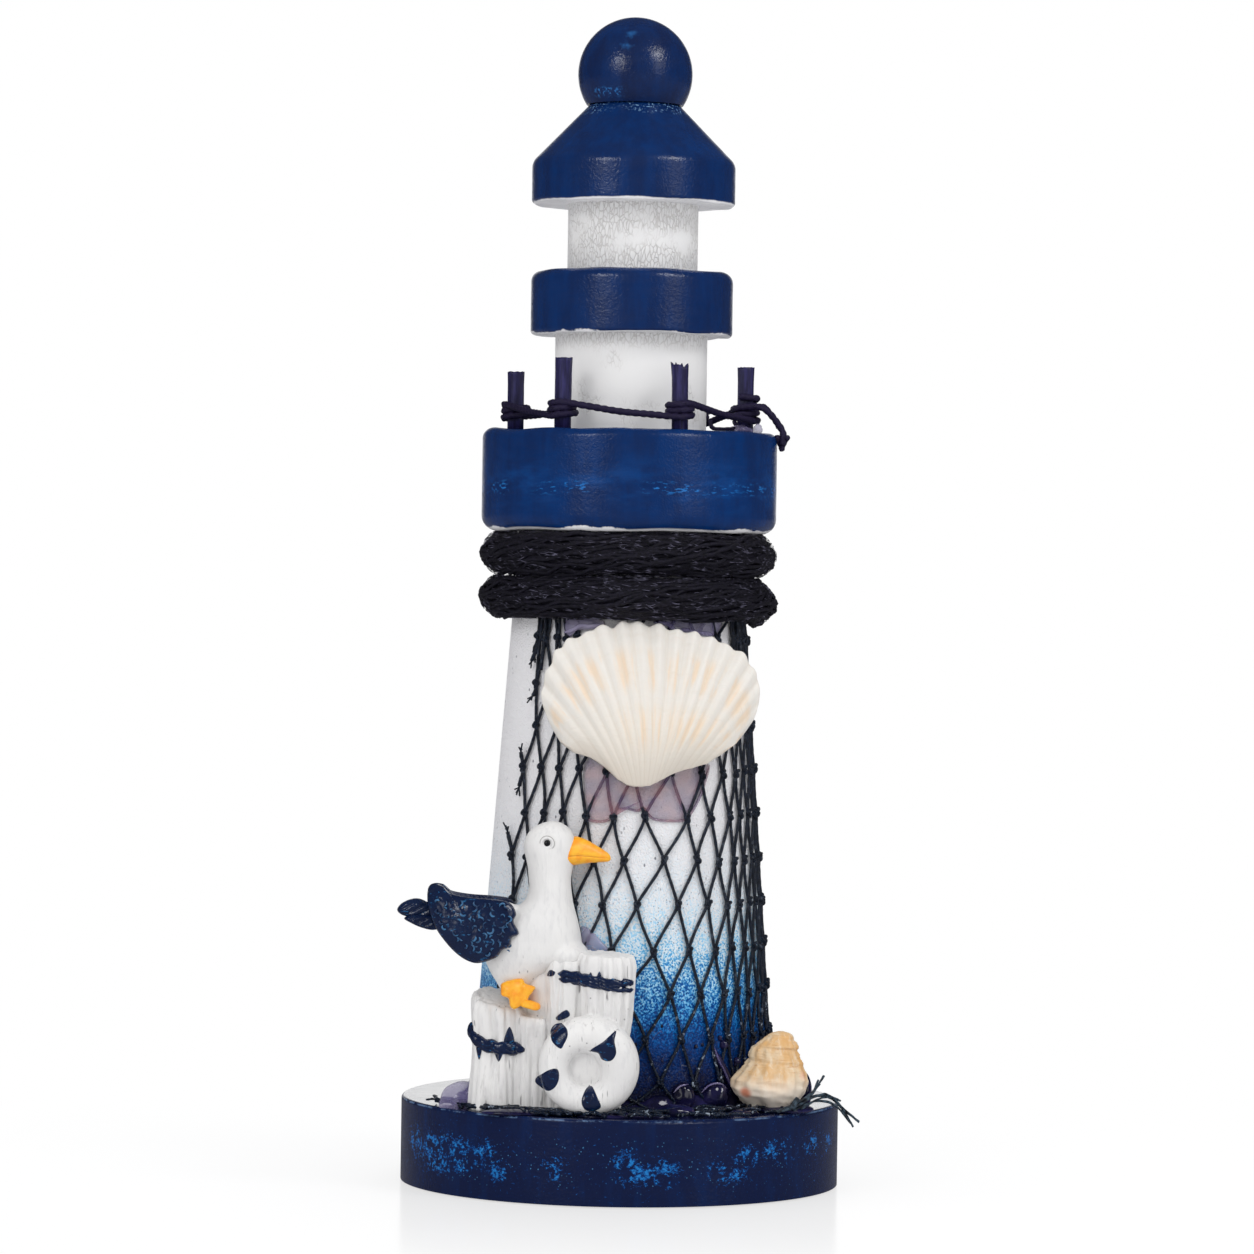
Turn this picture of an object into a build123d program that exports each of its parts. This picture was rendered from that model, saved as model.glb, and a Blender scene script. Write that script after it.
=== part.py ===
from build123d import *
import os
from math import atan2, ceil, cos, degrees, dist, hypot, radians, sin, sqrt

os.makedirs("parts", exist_ok=True)

# A table-top lighthouse of turned and painted wood, dressed with rope, net, shells and a cast
# gull, with a battery lamp in its lantern. Millimetres, +Z up, the front is -Y, and the origin
# is the centre of the base's underside. An azimuth counts from the front, positive to the right.

# Turned wooden stack
base_radius = 47.0
base_web = 2.5
base_edge_round = 0.8
tower_foot_radius = 32.2
tower_top_radius = 23.4
tower_height = 121.5
gallery_radius = 31.7
gallery_height = 21.5
gallery_top_round = 1.8
gallery_foot_round = 3.2
drum_radius = 16.35
drum_height = 20.7
ring_radius = 21.7
ring_height = 13.6
ring_top_round = 2.2
ring_foot_round = 0.8
lantern_radius = 14.0
lantern_height = 14.4
lantern_wall = 1.6
roof_radius = 21.85
roof_skirt_height = 9.0
roof_cone_height = 12.5
roof_neck_radius = 9.7
roof_shoulder_round = 3.0
roof_eave_round = 0.8
ball_radius = 12.3
ball_centre_rise = 6.6

# Glued and fitted joints of the stack
glue_gap = 0.1
stem_radius = 4.5
stem_wall = 1.0
stem_seat_depth = 15.0
wire_bore_radius = 4.0
boss_height = 1.6
spigot_height = 2.0
light_well_radius = 9.0
light_well_depth = 8.0
dowel_radius = 3.0
dowel_length = 15.0
dowel_roof_depth = 7.0

# Gallery rail: wooden pins and a twine wound round them
post_radius = 1.75
post_seat_depth = 6.0
post_circle_radius = 24.8
first_post_azimuth = 85.0
post_heights = [14.2, 13.6, 13.9, 12.7, 15.0, 13.7]
twine_radius = 0.7
twine_slack = 0.15
twine_low = 2.7
twine_high = 5.5
twine_start_height = 7.6
tail_drop = 3.5
tail_slope = 0.75

# Rope wound under the gallery
rope_width = 7.1
rope_height = 8.8
rope_turn_gap = 0.5
rope_clearance = 0.35
rope_climb_start = 135.0
rope_climb_arc = 90.0
rope_flat_arc = 235.0

# Net over the tower
net_clearance = 0.15
net_thickness = 0.9
net_strand_width = 1.0
net_left_azimuth = -60.0
net_mesh_angle = 14.3
net_columns = 14
net_rows = 10

# Scallop shell on the tower
scallop_azimuth = 10.0
scallop_tilt = 6.0
scallop_rope_gap = 0.55
scallop_half_width = 23.2
scallop_half_height = 17.5
scallop_half_fan = 64.0
scallop_ribs = 17
scallop_rib_depth = 0.7
scallop_wall = 1.5
scallop_dome = 0.3
scallop_standoff = 0.6
umbo_radius = 2.6
glue_pad_radius = 9.0
glue_pad_rise = 16.0
glue_pad_front = 2.0
glue_pad_back = 6.0

# Whelk shell on the base
whelk_azimuth = 53.1
whelk_distance = 40.0
whelk_height = 15.2
whelk_radius = 6.6
whelk_lip_share = 0.35
whelk_bulge_shares = [(1.0, 0.36), (0.68, 0.71), (0.34, 0.91)]
whelk_seam_shares = [(0.7, 0.6), (0.42, 0.8), (0.06, 1.0)]
glue_drop_radius = 4.6
glue_drop_height = 3.2

# Cast gull on pilings with a life ring
gull_clearance = 0.2
piling_places = [(-26.6, -27.5), (-18.5, -32.0), (-11.2, -33.6), (-3.5, -36.5)]
piling_radii = [4.7, 4.2, 4.6, 6.4]
gull_body_height = 37.5
breast_piling_drop = 4.3
piling_heights = [24.5, 25.0, 26.0, gull_body_height - breast_piling_drop]
lashing_radius = 1.1
lashing_drops = [7.5, 3.7]
life_ring_place = (-5.3, -40.0)
life_ring_height = 9.6
life_ring_radius = 7.0
life_ring_tube = 3.0
life_ring_turn = 28.0
life_ring_lean = 8.0
gull_place = (-19.5, -31.5)
gull_body_half_length = 13.0
gull_body_half_depth = 9.6
gull_body_pitch = 6.0
gull_leg_radius = 3.4
gull_head_offset = 3.9
gull_head_rise = 18.3
gull_head_radius = 5.3
gull_neck_radius = 4.5
gull_chest_radius = 7.4
gull_chest_offset = 2.4
gull_chest_rise = 3.0
gull_beak_length = 7.4
gull_beak_radius = 2.8
gull_beak_drop = 1.6
gull_rear_offsets = [3.5, 12.5, 20.0, 27.3]
gull_rear_half_widths = [8.8, 6.0, 4.0, 2.0]
gull_rear_half_heights = [8.6, 7.4, 4.4, 1.6]
gull_rear_rises = [0.0, 1.0, 2.2, 3.4]

# Battery case in the base: two AAA cells, a hinged door and a slide switch
cell_radius = 5.25
cell_length = 44.5
cell_nub_radius = 1.9
cell_nub_length = 1.0
cell_side_gap = 0.8
cell_clearance = 0.2
cell_door_gap = 0.4
cell_headroom = 0.3
case_mouth = 0.6
case_wall = 1.4
case_divider = 2.2
case_gap = 0.3
pocket_headroom = 0.1
door_recess = 0.6
door_thickness = 1.6
door_gap = 0.3
door_ledge = 0.7
door_notch_radius = 4.0
door_notch_depth = 1.8
hinge_pin_radius = 0.7
hinge_pin_length = 1.0
hinge_clearance = 0.08
contact_thickness = 0.4
contact_width = 8.0
contact_height = 8.4
contact_gap = 0.1
strip_width = 3.0
strip_slot_gap = 0.2
spring_length = 6.6
spring_wire_radius = 0.3
spring_base_radius = 3.4
spring_tip_radius = 2.2
spring_turn_count = 4
switch_bay_length = 13.0
switch_floor = 2.6
switch_length = 12.0
switch_width = 6.0
switch_height = 5.0
switch_wall = 1.0
knob_length = 3.4
knob_width = 3.0
knob_tip_height = 0.9
knob_travel = 2.0
knob_gap = 0.15
carriage_margin = 0.8
carriage_height = 1.8
negative_strip_rise = 2.0

# Screws
ear_radius = 3.6
ear_thickness = 2.0
ear_floor = 2.6
ear_offset = 22.0
ear_gap = 0.3
case_screw_radius = 1.1
case_screw_head_radius = 2.5
case_screw_head_height = 1.3
case_screw_length = 10.0
tower_screw_radius = 1.75
tower_screw_head_radius = 3.5
tower_screw_length = 30.0
tower_screw_sink = 0.4
tower_screw_wood = 6.2
thread_gap = 0.05
screw_hole_gap = 0.2

# Lamp and wires
led_radius = 2.5
led_flange_radius = 2.9
led_flange_height = 1.0
led_barrel_height = 5.1
lead_radius = 0.25
lead_length = 10.0
lead_offset = 1.27
holder_thickness = 3.0
holder_gap = 0.2
holder_hole_radius = 2.2
wire_radius = 0.55
wire_bend_radius = 3.5
wire_hole_radius = 2.6
wire_groove_width = 4.8
wire_groove_height = 4.0

# Levels and plan of the battery case, worked out from the cells
door_low = case_mouth + door_recess
door_top = door_low + door_thickness
hinge_height = door_low + door_thickness / 2
cell_axis_height = door_top + cell_door_gap + cell_radius
case_inside_top = cell_axis_height + cell_radius + cell_headroom
case_top = case_inside_top + case_wall
pocket_depth = case_top + pocket_headroom
cell_offset = cell_radius + cell_side_gap / 2
bay_half_width = cell_offset + cell_radius + cell_clearance
door_half_width = bay_half_width + door_ledge
case_half_width = door_half_width + door_gap + case_wall
bay_length = cell_length + spring_length + 2 * contact_thickness + contact_gap
case_length = 2 * case_wall + bay_length + case_divider + switch_bay_length
bay_start = case_wall - case_length / 2
bay_end = bay_start + bay_length
switch_bay_start = bay_end + case_divider
switch_x = switch_bay_start + switch_bay_length / 2
switch_base = switch_floor + case_wall
switch_top = switch_base + switch_height
hinge_x = bay_start + door_gap + door_thickness / 2
door_end = bay_end + door_ledge
ear_y = case_half_width + ear_radius - ear_gap
ear_places = [(ear_offset, ear_y), (-ear_offset, -ear_y)]
tower_screw_y = case_half_width + case_gap + tower_screw_wood

# Levels of the stack
base_height = pocket_depth + base_web
tower_top = base_height + tower_height
gallery_top = tower_top + gallery_height
drum_top = gallery_top + drum_height
ring_top = drum_top + ring_height
boss_top = ring_top + boss_height
lantern_top = ring_top + lantern_height
roof_shoulder = lantern_top + roof_skirt_height
roof_top = roof_shoulder + roof_cone_height
holder_top = boss_top + holder_thickness
lead_foot = holder_top - lead_length
lantern_bore = lantern_radius - lantern_wall
stem_foot = tower_top - stem_seat_depth
tower_slope = (tower_foot_radius - tower_top_radius) / tower_height

quarter_turn = 90
half_turn = 180
full_turn = 360


def tower_radius(height):
    """Radius of the tower's cone at a height above the table."""
    return tower_foot_radius - tower_slope * (height - base_height)


def around(azimuth, radius, height):
    """Point at an azimuth from the front, a distance from the axis and a height."""
    return Vector(radius * sin(radians(azimuth)), -radius * cos(radians(azimuth)), height)


def outward(azimuth):
    """Level direction away from the axis at an azimuth."""
    return around(azimuth, 1, 0)


def rightward(azimuth):
    """Level direction round the axis at an azimuth, to the right for someone facing it."""
    return around(azimuth + quarter_turn, 1, 0)


def draw_route(stations):
    """Draw a straight run or two tangent arcs from each (point, direction) station to the next."""
    level_turn = 1e-6
    for (start, leaving), (end, arriving) in zip(stations, stations[1:]):
        span = end - start
        along = span.dot(leaving + arriving)
        spread = 2 * (1 - leaving.dot(arriving))
        if spread < level_turn:
            reach = span.dot(span) / (2 * along)
        else:
            reach = (sqrt(along**2 + spread * span.dot(span)) - along) / spread
        first = start + leaving * reach
        second = end - arriving * reach
        middle = (first + second) * 0.5
        onward = (second - first).normalized()
        if leaving.cross(onward).length < level_turn:
            Line(start, end)
        else:
            TangentArc(start, middle, tangent=leaving)
            TangentArc(middle, end, tangent=onward)


def least_gap(line, thickness, apart):
    """Clear space between stretches of a line that lie at least a length apart along it."""
    samples = 8
    places = []
    passed = 0.0
    for edge in line.edges():
        for step in range(samples):
            point = edge.position_at(step / samples)
            places.append((passed + edge.length * step / samples, tuple(point)))
        passed += edge.length
    nearest = min(
        dist(here, there)
        for index, (done, here) in enumerate(places)
        for further, there in places[index + 1 :]
        if further - done > apart
    )
    return nearest - thickness


# Base: a turned wooden disc, pocketed from below for the battery case and drilled for its screws
with BuildPart() as base_disc:
    Cylinder(base_radius, base_height, align=(Align.CENTER, Align.CENTER, Align.MIN))
    fillet(base_disc.edges().group_by(Axis.Z)[-1], base_edge_round)
    with BuildSketch() as pocket_plan:
        Rectangle(case_length + 2 * case_gap, 2 * (case_half_width + case_gap))
    extrude(amount=pocket_depth, mode=Mode.SUBTRACT)
    with BuildSketch() as ear_recess_plan:
        for x, y in ear_places:
            with Locations((x, y / 2)):
                Rectangle(2 * (ear_radius + ear_gap), abs(y))
            with Locations((x, y)):
                Circle(ear_radius + ear_gap)
    extrude(amount=ear_floor + ear_thickness, mode=Mode.SUBTRACT)
    with BuildSketch() as pilot_plan:
        with Locations(*ear_places):
            Circle(case_screw_radius + thread_gap)
    extrude(amount=ear_floor + case_screw_length + case_gap, mode=Mode.SUBTRACT)
    with BuildSketch() as wire_hole_plan:
        with Locations((switch_x, 0)):
            Circle(wire_hole_radius)
    extrude(amount=base_height, mode=Mode.SUBTRACT)
    for side in (1, -1):
        with BuildSketch(Plane.XZ.offset(-side * tower_screw_y)):
            with BuildLine():
                head = tower_screw_head_radius + screw_hole_gap
                hole = tower_screw_radius + screw_hole_gap
                Polyline(
                    (0, 0),
                    (head, 0),
                    (head, tower_screw_sink),
                    (hole, tower_screw_sink + head - hole),
                    (hole, base_height),
                    (0, base_height),
                    close=True,
                )
            make_face()
        revolve(axis=Axis((0, side * tower_screw_y, 0), (0, 0, 1)), mode=Mode.SUBTRACT)

# Tower: a solid wooden cone with a bore for the wires, a groove to it and a seat for the stem
with BuildPart() as tower:
    with BuildSketch(Plane.XZ):
        with BuildLine():
            Polyline(
                (wire_bore_radius, base_height),
                (tower_foot_radius, base_height),
                (tower_top_radius, tower_top),
                (stem_radius + glue_gap, tower_top),
                (stem_radius + glue_gap, stem_foot),
                (wire_bore_radius, stem_foot),
                close=True,
            )
        make_face()
    revolve(axis=Axis.Z)
    with BuildSketch(Plane.XY.offset(base_height)) as groove_plan:
        with Locations((switch_x / 2, 0)):
            Rectangle(switch_x, wire_groove_width)
        with Locations((switch_x, 0)):
            Circle(wire_hole_radius)
    extrude(amount=wire_groove_height, mode=Mode.SUBTRACT)
    with BuildSketch(Plane.XY.offset(base_height)) as tower_pilot_plan:
        with Locations((0, tower_screw_y), (0, -tower_screw_y)):
            Circle(tower_screw_radius + thread_gap)
    extrude(amount=tower_screw_sink + tower_screw_length - base_height + case_gap, mode=Mode.SUBTRACT)

# Gallery: the wide wooden deck, bored for the stem, with a ring of holes for the rail's pins
post_step = full_turn / len(post_heights)
post_azimuths = [first_post_azimuth + post_step * index for index in range(len(post_heights))]
with BuildPart() as gallery_disc:
    with BuildSketch(Plane.XY.offset(tower_top)):
        Circle(gallery_radius)
        Circle(stem_radius + glue_gap, mode=Mode.SUBTRACT)
    extrude(amount=gallery_height)
    rims = gallery_disc.edges().filter_by(GeomType.CIRCLE).sort_by(SortBy.RADIUS)[-2:].sort_by(Axis.Z)
    fillet(rims[0], gallery_foot_round)
    rims = gallery_disc.edges().filter_by(GeomType.CIRCLE).group_by(Axis.Z)[-1].sort_by(SortBy.RADIUS)
    fillet(rims[-1], gallery_top_round)
    with BuildSketch(Plane.XY.offset(gallery_top)):
        with Locations(*[around(azimuth, post_circle_radius, 0) for azimuth in post_azimuths]):
            Circle(post_radius + glue_gap)
    extrude(amount=-post_seat_depth, mode=Mode.SUBTRACT)

# Lower drum: a short wooden cylinder round the stem
with BuildPart() as lower_drum:
    with BuildSketch(Plane.XY.offset(gallery_top)):
        Circle(drum_radius)
        Circle(stem_radius + glue_gap, mode=Mode.SUBTRACT)
    extrude(amount=drum_height)

# Middle ring: a rounded wooden collar with a boss on top that centres the lantern
with BuildPart() as middle_ring:
    with BuildSketch(Plane.XY.offset(drum_top)):
        Circle(ring_radius)
    extrude(amount=ring_height)
    rims = middle_ring.edges().filter_by(GeomType.CIRCLE).sort_by(Axis.Z)
    fillet(rims[0], ring_foot_round)
    rims = middle_ring.edges().filter_by(GeomType.CIRCLE).sort_by(Axis.Z)
    fillet(rims[-1], ring_top_round)
    with BuildSketch(Plane.XY.offset(ring_top)):
        Circle(lantern_bore - glue_gap)
    extrude(amount=boss_height)
    with BuildSketch(Plane.XY.offset(drum_top)):
        Circle(stem_radius + glue_gap)
    extrude(amount=ring_height + boss_height, mode=Mode.SUBTRACT)

# Stem: the metal tube that threads the upper pieces together and carries the wires
with BuildPart() as stem_tube:
    with BuildSketch(Plane.XY.offset(stem_foot)):
        Circle(stem_radius)
        Circle(stem_radius - stem_wall, mode=Mode.SUBTRACT)
    extrude(amount=boss_top - stem_foot)

# Lantern: a thin opal tube that stands on the ring round the lamp
with BuildPart() as lantern_tube:
    with BuildSketch(Plane.XY.offset(ring_top)):
        Circle(lantern_radius)
        Circle(lantern_bore, mode=Mode.SUBTRACT)
    extrude(amount=lantern_height)

# Roof: a turned cap with a spigot in the lantern, a light well and a hole for the finial's dowel
with BuildPart() as roof:
    with BuildSketch(Plane.XY.offset(lantern_top)):
        Circle(roof_radius)
    extrude(amount=roof_skirt_height)
    with BuildSketch(Plane.XZ):
        with BuildLine():
            Polyline(
                (0, roof_shoulder),
                (roof_radius, roof_shoulder),
                (roof_neck_radius, roof_top),
                (0, roof_top),
                close=True,
            )
        make_face()
    revolve(axis=Axis.Z)
    rims = roof.edges().filter_by(GeomType.CIRCLE).sort_by(Axis.Z)
    fillet(rims[1], roof_shoulder_round)
    rims = roof.edges().filter_by(GeomType.CIRCLE).sort_by(Axis.Z)
    fillet(rims[0], roof_eave_round)
    with BuildSketch(Plane.XY.offset(lantern_top)):
        Circle(lantern_bore - glue_gap)
    extrude(amount=-spigot_height)
    with BuildSketch(Plane.XY.offset(lantern_top - spigot_height)):
        Circle(light_well_radius)
    extrude(amount=spigot_height + light_well_depth, mode=Mode.SUBTRACT)
    with BuildSketch(Plane.XY.offset(roof_top)):
        Circle(dowel_radius + glue_gap)
    extrude(amount=-dowel_roof_depth, mode=Mode.SUBTRACT)

# Finial: a wooden ball cut flat below, on a dowel
with BuildPart() as finial_ball:
    with Locations((0, 0, roof_top + ball_centre_rise)):
        Sphere(ball_radius)
    split(bisect_by=Plane.XY.offset(roof_top), keep=Keep.TOP)
    with BuildSketch(Plane.XY.offset(roof_top)):
        Circle(dowel_radius + glue_gap)
    extrude(amount=dowel_length - dowel_roof_depth, mode=Mode.SUBTRACT)
with BuildPart() as finial_dowel:
    with BuildSketch(Plane.XY.offset(roof_top - dowel_roof_depth)):
        Circle(dowel_radius)
    extrude(amount=dowel_length)

# Rail pins: six short wooden pins, each cut to its own length
rail_posts = []
for azimuth, height in zip(post_azimuths, post_heights):
    with BuildPart() as rail_post:
        with BuildSketch(Plane(around(azimuth, post_circle_radius, gallery_top - post_seat_depth))):
            Circle(post_radius)
        extrude(amount=post_seat_depth + height)
    rail_posts.append(rail_post)

# Rail twine: one length wound round every pin in turn, with its tail hanging over the deck's rim
wind_radius = post_radius + twine_radius + twine_slack
post_centres = [around(azimuth, post_circle_radius, gallery_top) for azimuth in post_azimuths]
post_circuit = post_centres + post_centres[:1]


def beside(centre, bearing, height):
    """Point on a pin's winding at a bearing from +X and a height above the deck."""
    away = Vector(cos(radians(bearing)), sin(radians(bearing)), 0)
    return centre + away * wind_radius + Vector(0, 0, height)


def heading(bearing, climb):
    """Direction of an anticlockwise winding at a bearing, with its rise for each unit of run."""
    return Vector(-sin(radians(bearing)), cos(radians(bearing)), climb).normalized()


def span_bearing(start, end):
    """Bearing on both pins where the outer tangent from one to the next touches them."""
    return degrees(atan2(end.Y - start.Y, end.X - start.X)) - quarter_turn


post_spacing = (post_circuit[1] - post_circuit[0]).length
twine_fall = (twine_low - twine_high) / post_spacing
leave_bearing = span_bearing(post_circuit[0], post_circuit[1])
first_fall = (twine_low - twine_start_height) / post_spacing
twine_stations = [
    (beside(post_circuit[0], leave_bearing, twine_start_height), heading(leave_bearing, first_fall))
]
for index in range(1, len(post_circuit)):
    centre = post_circuit[index]
    first = span_bearing(post_circuit[index - 1], centre)
    if index < len(post_circuit) - 1:
        last = span_bearing(centre, post_circuit[index + 1])
        sweep_angle = full_turn + (last - first) % full_turn
    else:
        last = first_post_azimuth - half_turn
        sweep_angle = (last - first) % full_turn
    steps = ceil(sweep_angle / quarter_turn)
    rise = (twine_high - twine_low) / (wind_radius * radians(sweep_angle))
    fall_in = first_fall if index == 1 else twine_fall
    climbs = [fall_in] + [rise] * (steps - 1) + [twine_fall]
    for step, climb in enumerate(climbs):
        bearing = first + sweep_angle * step / steps
        height = twine_low + (twine_high - twine_low) * step / steps
        twine_stations.append((beside(centre, bearing, height), heading(bearing, climb)))
tail_out = outward(first_post_azimuth)
tail_reach = gallery_radius + twine_radius + 2 * twine_slack - post_circle_radius
tail_start = twine_stations[-1][0]
tail_bend = tail_start + tail_out * (tail_reach - 2 * twine_radius) - Vector(0, 0, 2 * twine_radius)
tail_hang = tail_start + tail_out * tail_reach - Vector(0, 0, twine_high + tail_drop / 2)
twine_stations.append((tail_bend, (tail_out - Vector(0, 0, tail_slope)).normalized()))
twine_stations.append((tail_hang, Vector(0, 0, -1)))
with BuildPart() as rail_twine:
    with BuildLine() as twine_line:
        twine_start, twine_heading = twine_stations[0]
        Line(twine_start - twine_heading * 2 * twine_radius, twine_start)
        draw_route(twine_stations)
        Line(tail_hang, tail_hang - Vector(0, 0, tail_drop / 2))
    with BuildSketch(Plane(twine_line.line @ 0, z_dir=twine_heading)):
        Circle(twine_radius)
    sweep()
print("rail twine", round(twine_line.wire().length, 1), "mm, least gap",
      round(least_gap(twine_line.line, 2 * twine_radius, 3 * wind_radius), 2), "mm")

# Rope: two turns under the gallery in one length, climbing from turn to turn at the back
rope_pitch = rope_height + rope_turn_gap
rope_high = tower_top - rope_clearance - rope_height / 2
rope_low = rope_high - rope_pitch
rope_radius = tower_radius(rope_low) + rope_clearance + rope_width / 2
rope_places = [(rope_climb_start - rope_flat_arc, rope_low), (rope_climb_start, rope_low),
               (rope_climb_start + rope_climb_arc, rope_high),
               (rope_climb_start + rope_climb_arc + rope_flat_arc, rope_high)]
rope_stations = []
for (azimuth, height), (next_azimuth, next_height) in zip(rope_places, rope_places[1:]):
    steps = ceil((next_azimuth - azimuth) / quarter_turn)
    for step in range(steps):
        bearing = azimuth + (next_azimuth - azimuth) * step / steps
        rope_stations.append((around(bearing, rope_radius, height), rightward(bearing)))
rope_end_azimuth, rope_end_height = rope_places[-1]
rope_end = around(rope_end_azimuth, rope_radius, rope_end_height)
rope_stations.append((rope_end, rightward(rope_end_azimuth)))
with BuildPart() as rope_wrap:
    with BuildLine() as rope_line:
        rope_start, rope_heading = rope_stations[0]
        Line(rope_start - rope_heading * rope_width, rope_start)
        draw_route(rope_stations)
        Line(rope_end, rope_end + rightward(rope_end_azimuth) * rope_width)
    with BuildSketch(Plane(rope_line.line @ 0, x_dir=outward(rope_places[0][0]), z_dir=rope_heading)):
        Ellipse(rope_width / 2, rope_height / 2)
    sweep()
print("rope", round(rope_line.wire().length, 1), "mm, least gap",
      round(least_gap(rope_line.line, rope_height, 3 * rope_width), 2), "mm")

# Net: a knotted net drawn round the tower's front and right, cut at its edges
net_foot = base_height + net_clearance
net_top = rope_low - rope_height / 2 - rope_clearance
net_row_height = (net_top - net_foot) / (net_rows + 1)
net_arc = net_columns * net_mesh_angle
net_left = rightward(net_left_azimuth)
with BuildPart() as fishing_net:
    with BuildSketch(Plane((0, 0, 0), x_dir=outward(net_left_azimuth), z_dir=-net_left)):
        with BuildLine():
            inner_foot = tower_radius(net_foot) + net_clearance
            inner_top = tower_radius(net_top) + net_clearance
            Polyline(
                (inner_foot, net_foot),
                (inner_foot + net_thickness, net_foot),
                (inner_top + net_thickness, net_top),
                (inner_top, net_top),
                close=True,
            )
        make_face()
    revolve(axis=Axis.Z, revolution_arc=net_arc)
    for row in range(net_rows + 2):
        height = net_foot + row * net_row_height
        half_width = tower_radius(height) * radians(net_mesh_angle) / 2
        shrink = 1 - net_strand_width / 2 * hypot(half_width, net_row_height) / (half_width * net_row_height)
        for column in range(net_columns + row % 2):
            azimuth = net_left_azimuth + net_mesh_angle * (column + 0.5 * (1 - row % 2))
            middle = around(azimuth, tower_radius(height) + net_thickness / 2, height)
            with BuildSketch(Plane(middle, x_dir=rightward(azimuth), z_dir=outward(azimuth))):
                with BuildLine():
                    Polyline(
                        (half_width * shrink, 0),
                        (0, net_row_height * shrink),
                        (-half_width * shrink, 0),
                        (0, -net_row_height * shrink),
                        close=True,
                    )
                make_face()
    extrude(amount=2 * net_thickness, both=True, mode=Mode.SUBTRACT)

# Scallop: a domed, ribbed fan, thin and hollow behind, glued over the net with its knob down
lean = sin(tower_slope)
scallop_out = (outward(scallop_azimuth) + Vector(0, 0, lean)).normalized()
scallop_level = rightward(scallop_azimuth)
scallop_up = scallop_out.cross(scallop_level)
scallop_turn = radians(scallop_tilt)
scallop_right = scallop_level * cos(scallop_turn) - scallop_up * sin(scallop_turn)
scallop_rise = scallop_up * cos(scallop_turn) + scallop_level * sin(scallop_turn)
net_skin = net_clearance + net_thickness
scallop_foot_height = rope_low - rope_height / 2 - scallop_rope_gap - 2 * scallop_half_height
scallop_foot = around(scallop_azimuth, tower_radius(scallop_foot_height) + net_skin + scallop_standoff,
                      scallop_foot_height)
with BuildPart() as scallop_shell:
    sections = 2 * scallop_ribs + 1
    for index in range(sections):
        fan = radians(scallop_half_fan * (2 * index / (sections - 1) - 1))
        width_share = (sin(fan) / scallop_half_width) ** 2
        height_share = (cos(fan) / scallop_half_height) ** 2
        groove = scallop_rib_depth * (1 - index % 2)
        reach = 2 * cos(fan) / scallop_half_height / (width_share + height_share) - groove
        crown = scallop_dome * reach - groove
        ray = scallop_right * sin(fan) + scallop_rise * cos(fan)
        with BuildSketch(Plane(scallop_foot, x_dir=ray, z_dir=ray.cross(scallop_out))):
            with BuildLine():
                near = umbo_radius / 2
                outer = ThreePointArc((near, scallop_wall), (reach / 2, crown), (reach, scallop_wall / 2))
                Line(outer @ 1, (reach, 0))
                inner = ThreePointArc(
                    (reach, 0), (reach / 2, crown - scallop_wall), (near, scallop_wall / 3)
                )
                Line(inner @ 1, outer @ 0)
            make_face()
    loft(ruled=True)
    with Locations(scallop_foot + scallop_out * umbo_radius / 2 + scallop_rise * umbo_radius / 2):
        Sphere(umbo_radius)
    split(bisect_by=Plane(scallop_foot, z_dir=scallop_out), keep=Keep.TOP)


def tower_room(clearance):
    """Space that the tower takes up, with a clearance round it."""
    with BuildPart() as room:
        with BuildSketch(Plane.XZ):
            with BuildLine():
                low = tower_radius(0) + clearance
                high = tower_radius(tower_top) + clearance
                Polyline((0, 0), (low, 0), (high, tower_top), (0, tower_top), close=True)
            make_face()
        revolve(axis=Axis.Z)
    return room.part


# Scallop glue: the pad of hot glue between the shell's hollow and the net
with BuildPart() as scallop_glue:
    pad_middle = scallop_foot + scallop_rise * glue_pad_rise
    with BuildSketch(Plane(pad_middle + scallop_out * glue_pad_front, z_dir=-scallop_out)):
        Circle(glue_pad_radius)
    extrude(amount=glue_pad_front + glue_pad_back)
    add(tower_room(net_skin), mode=Mode.SUBTRACT)

# Whelk: a small spiral shell of three whorls, standing on the base against the tower
whelk_foot = around(whelk_azimuth, whelk_distance, base_height)
with BuildPart() as whelk_shell:
    with BuildSketch(Plane(whelk_foot, x_dir=(1, 0, 0), z_dir=(0, -1, 0))):
        with BuildLine():
            seam = (whelk_lip_share * whelk_radius, 0)
            Line((0, 0), seam)
            for bulge_share, seam_share in zip(whelk_bulge_shares, whelk_seam_shares):
                bulge = (bulge_share[0] * whelk_radius, bulge_share[1] * whelk_height)
                next_seam = (seam_share[0] * whelk_radius, seam_share[1] * whelk_height)
                ThreePointArc(seam, bulge, next_seam)
                seam = next_seam
            Polyline(seam, (0, whelk_height), (0, 0))
        make_face()
    revolve(axis=Axis(whelk_foot, (0, 0, 1)))

# Whelk glue: the bead of hot glue that holds the shell to the base
with BuildPart() as whelk_glue:
    bead_azimuth = whelk_azimuth - degrees(whelk_radius / whelk_distance)
    bead_foot = around(bead_azimuth, whelk_distance - glue_drop_radius / 3, base_height)
    with Locations(bead_foot + Vector(0, 0, glue_drop_height - glue_drop_radius)):
        Sphere(glue_drop_radius)
    split(bisect_by=Plane.XY.offset(base_height), keep=Keep.TOP)
    add(whelk_shell.part, mode=Mode.SUBTRACT)
    add(tower_room(net_skin), mode=Mode.SUBTRACT)

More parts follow.
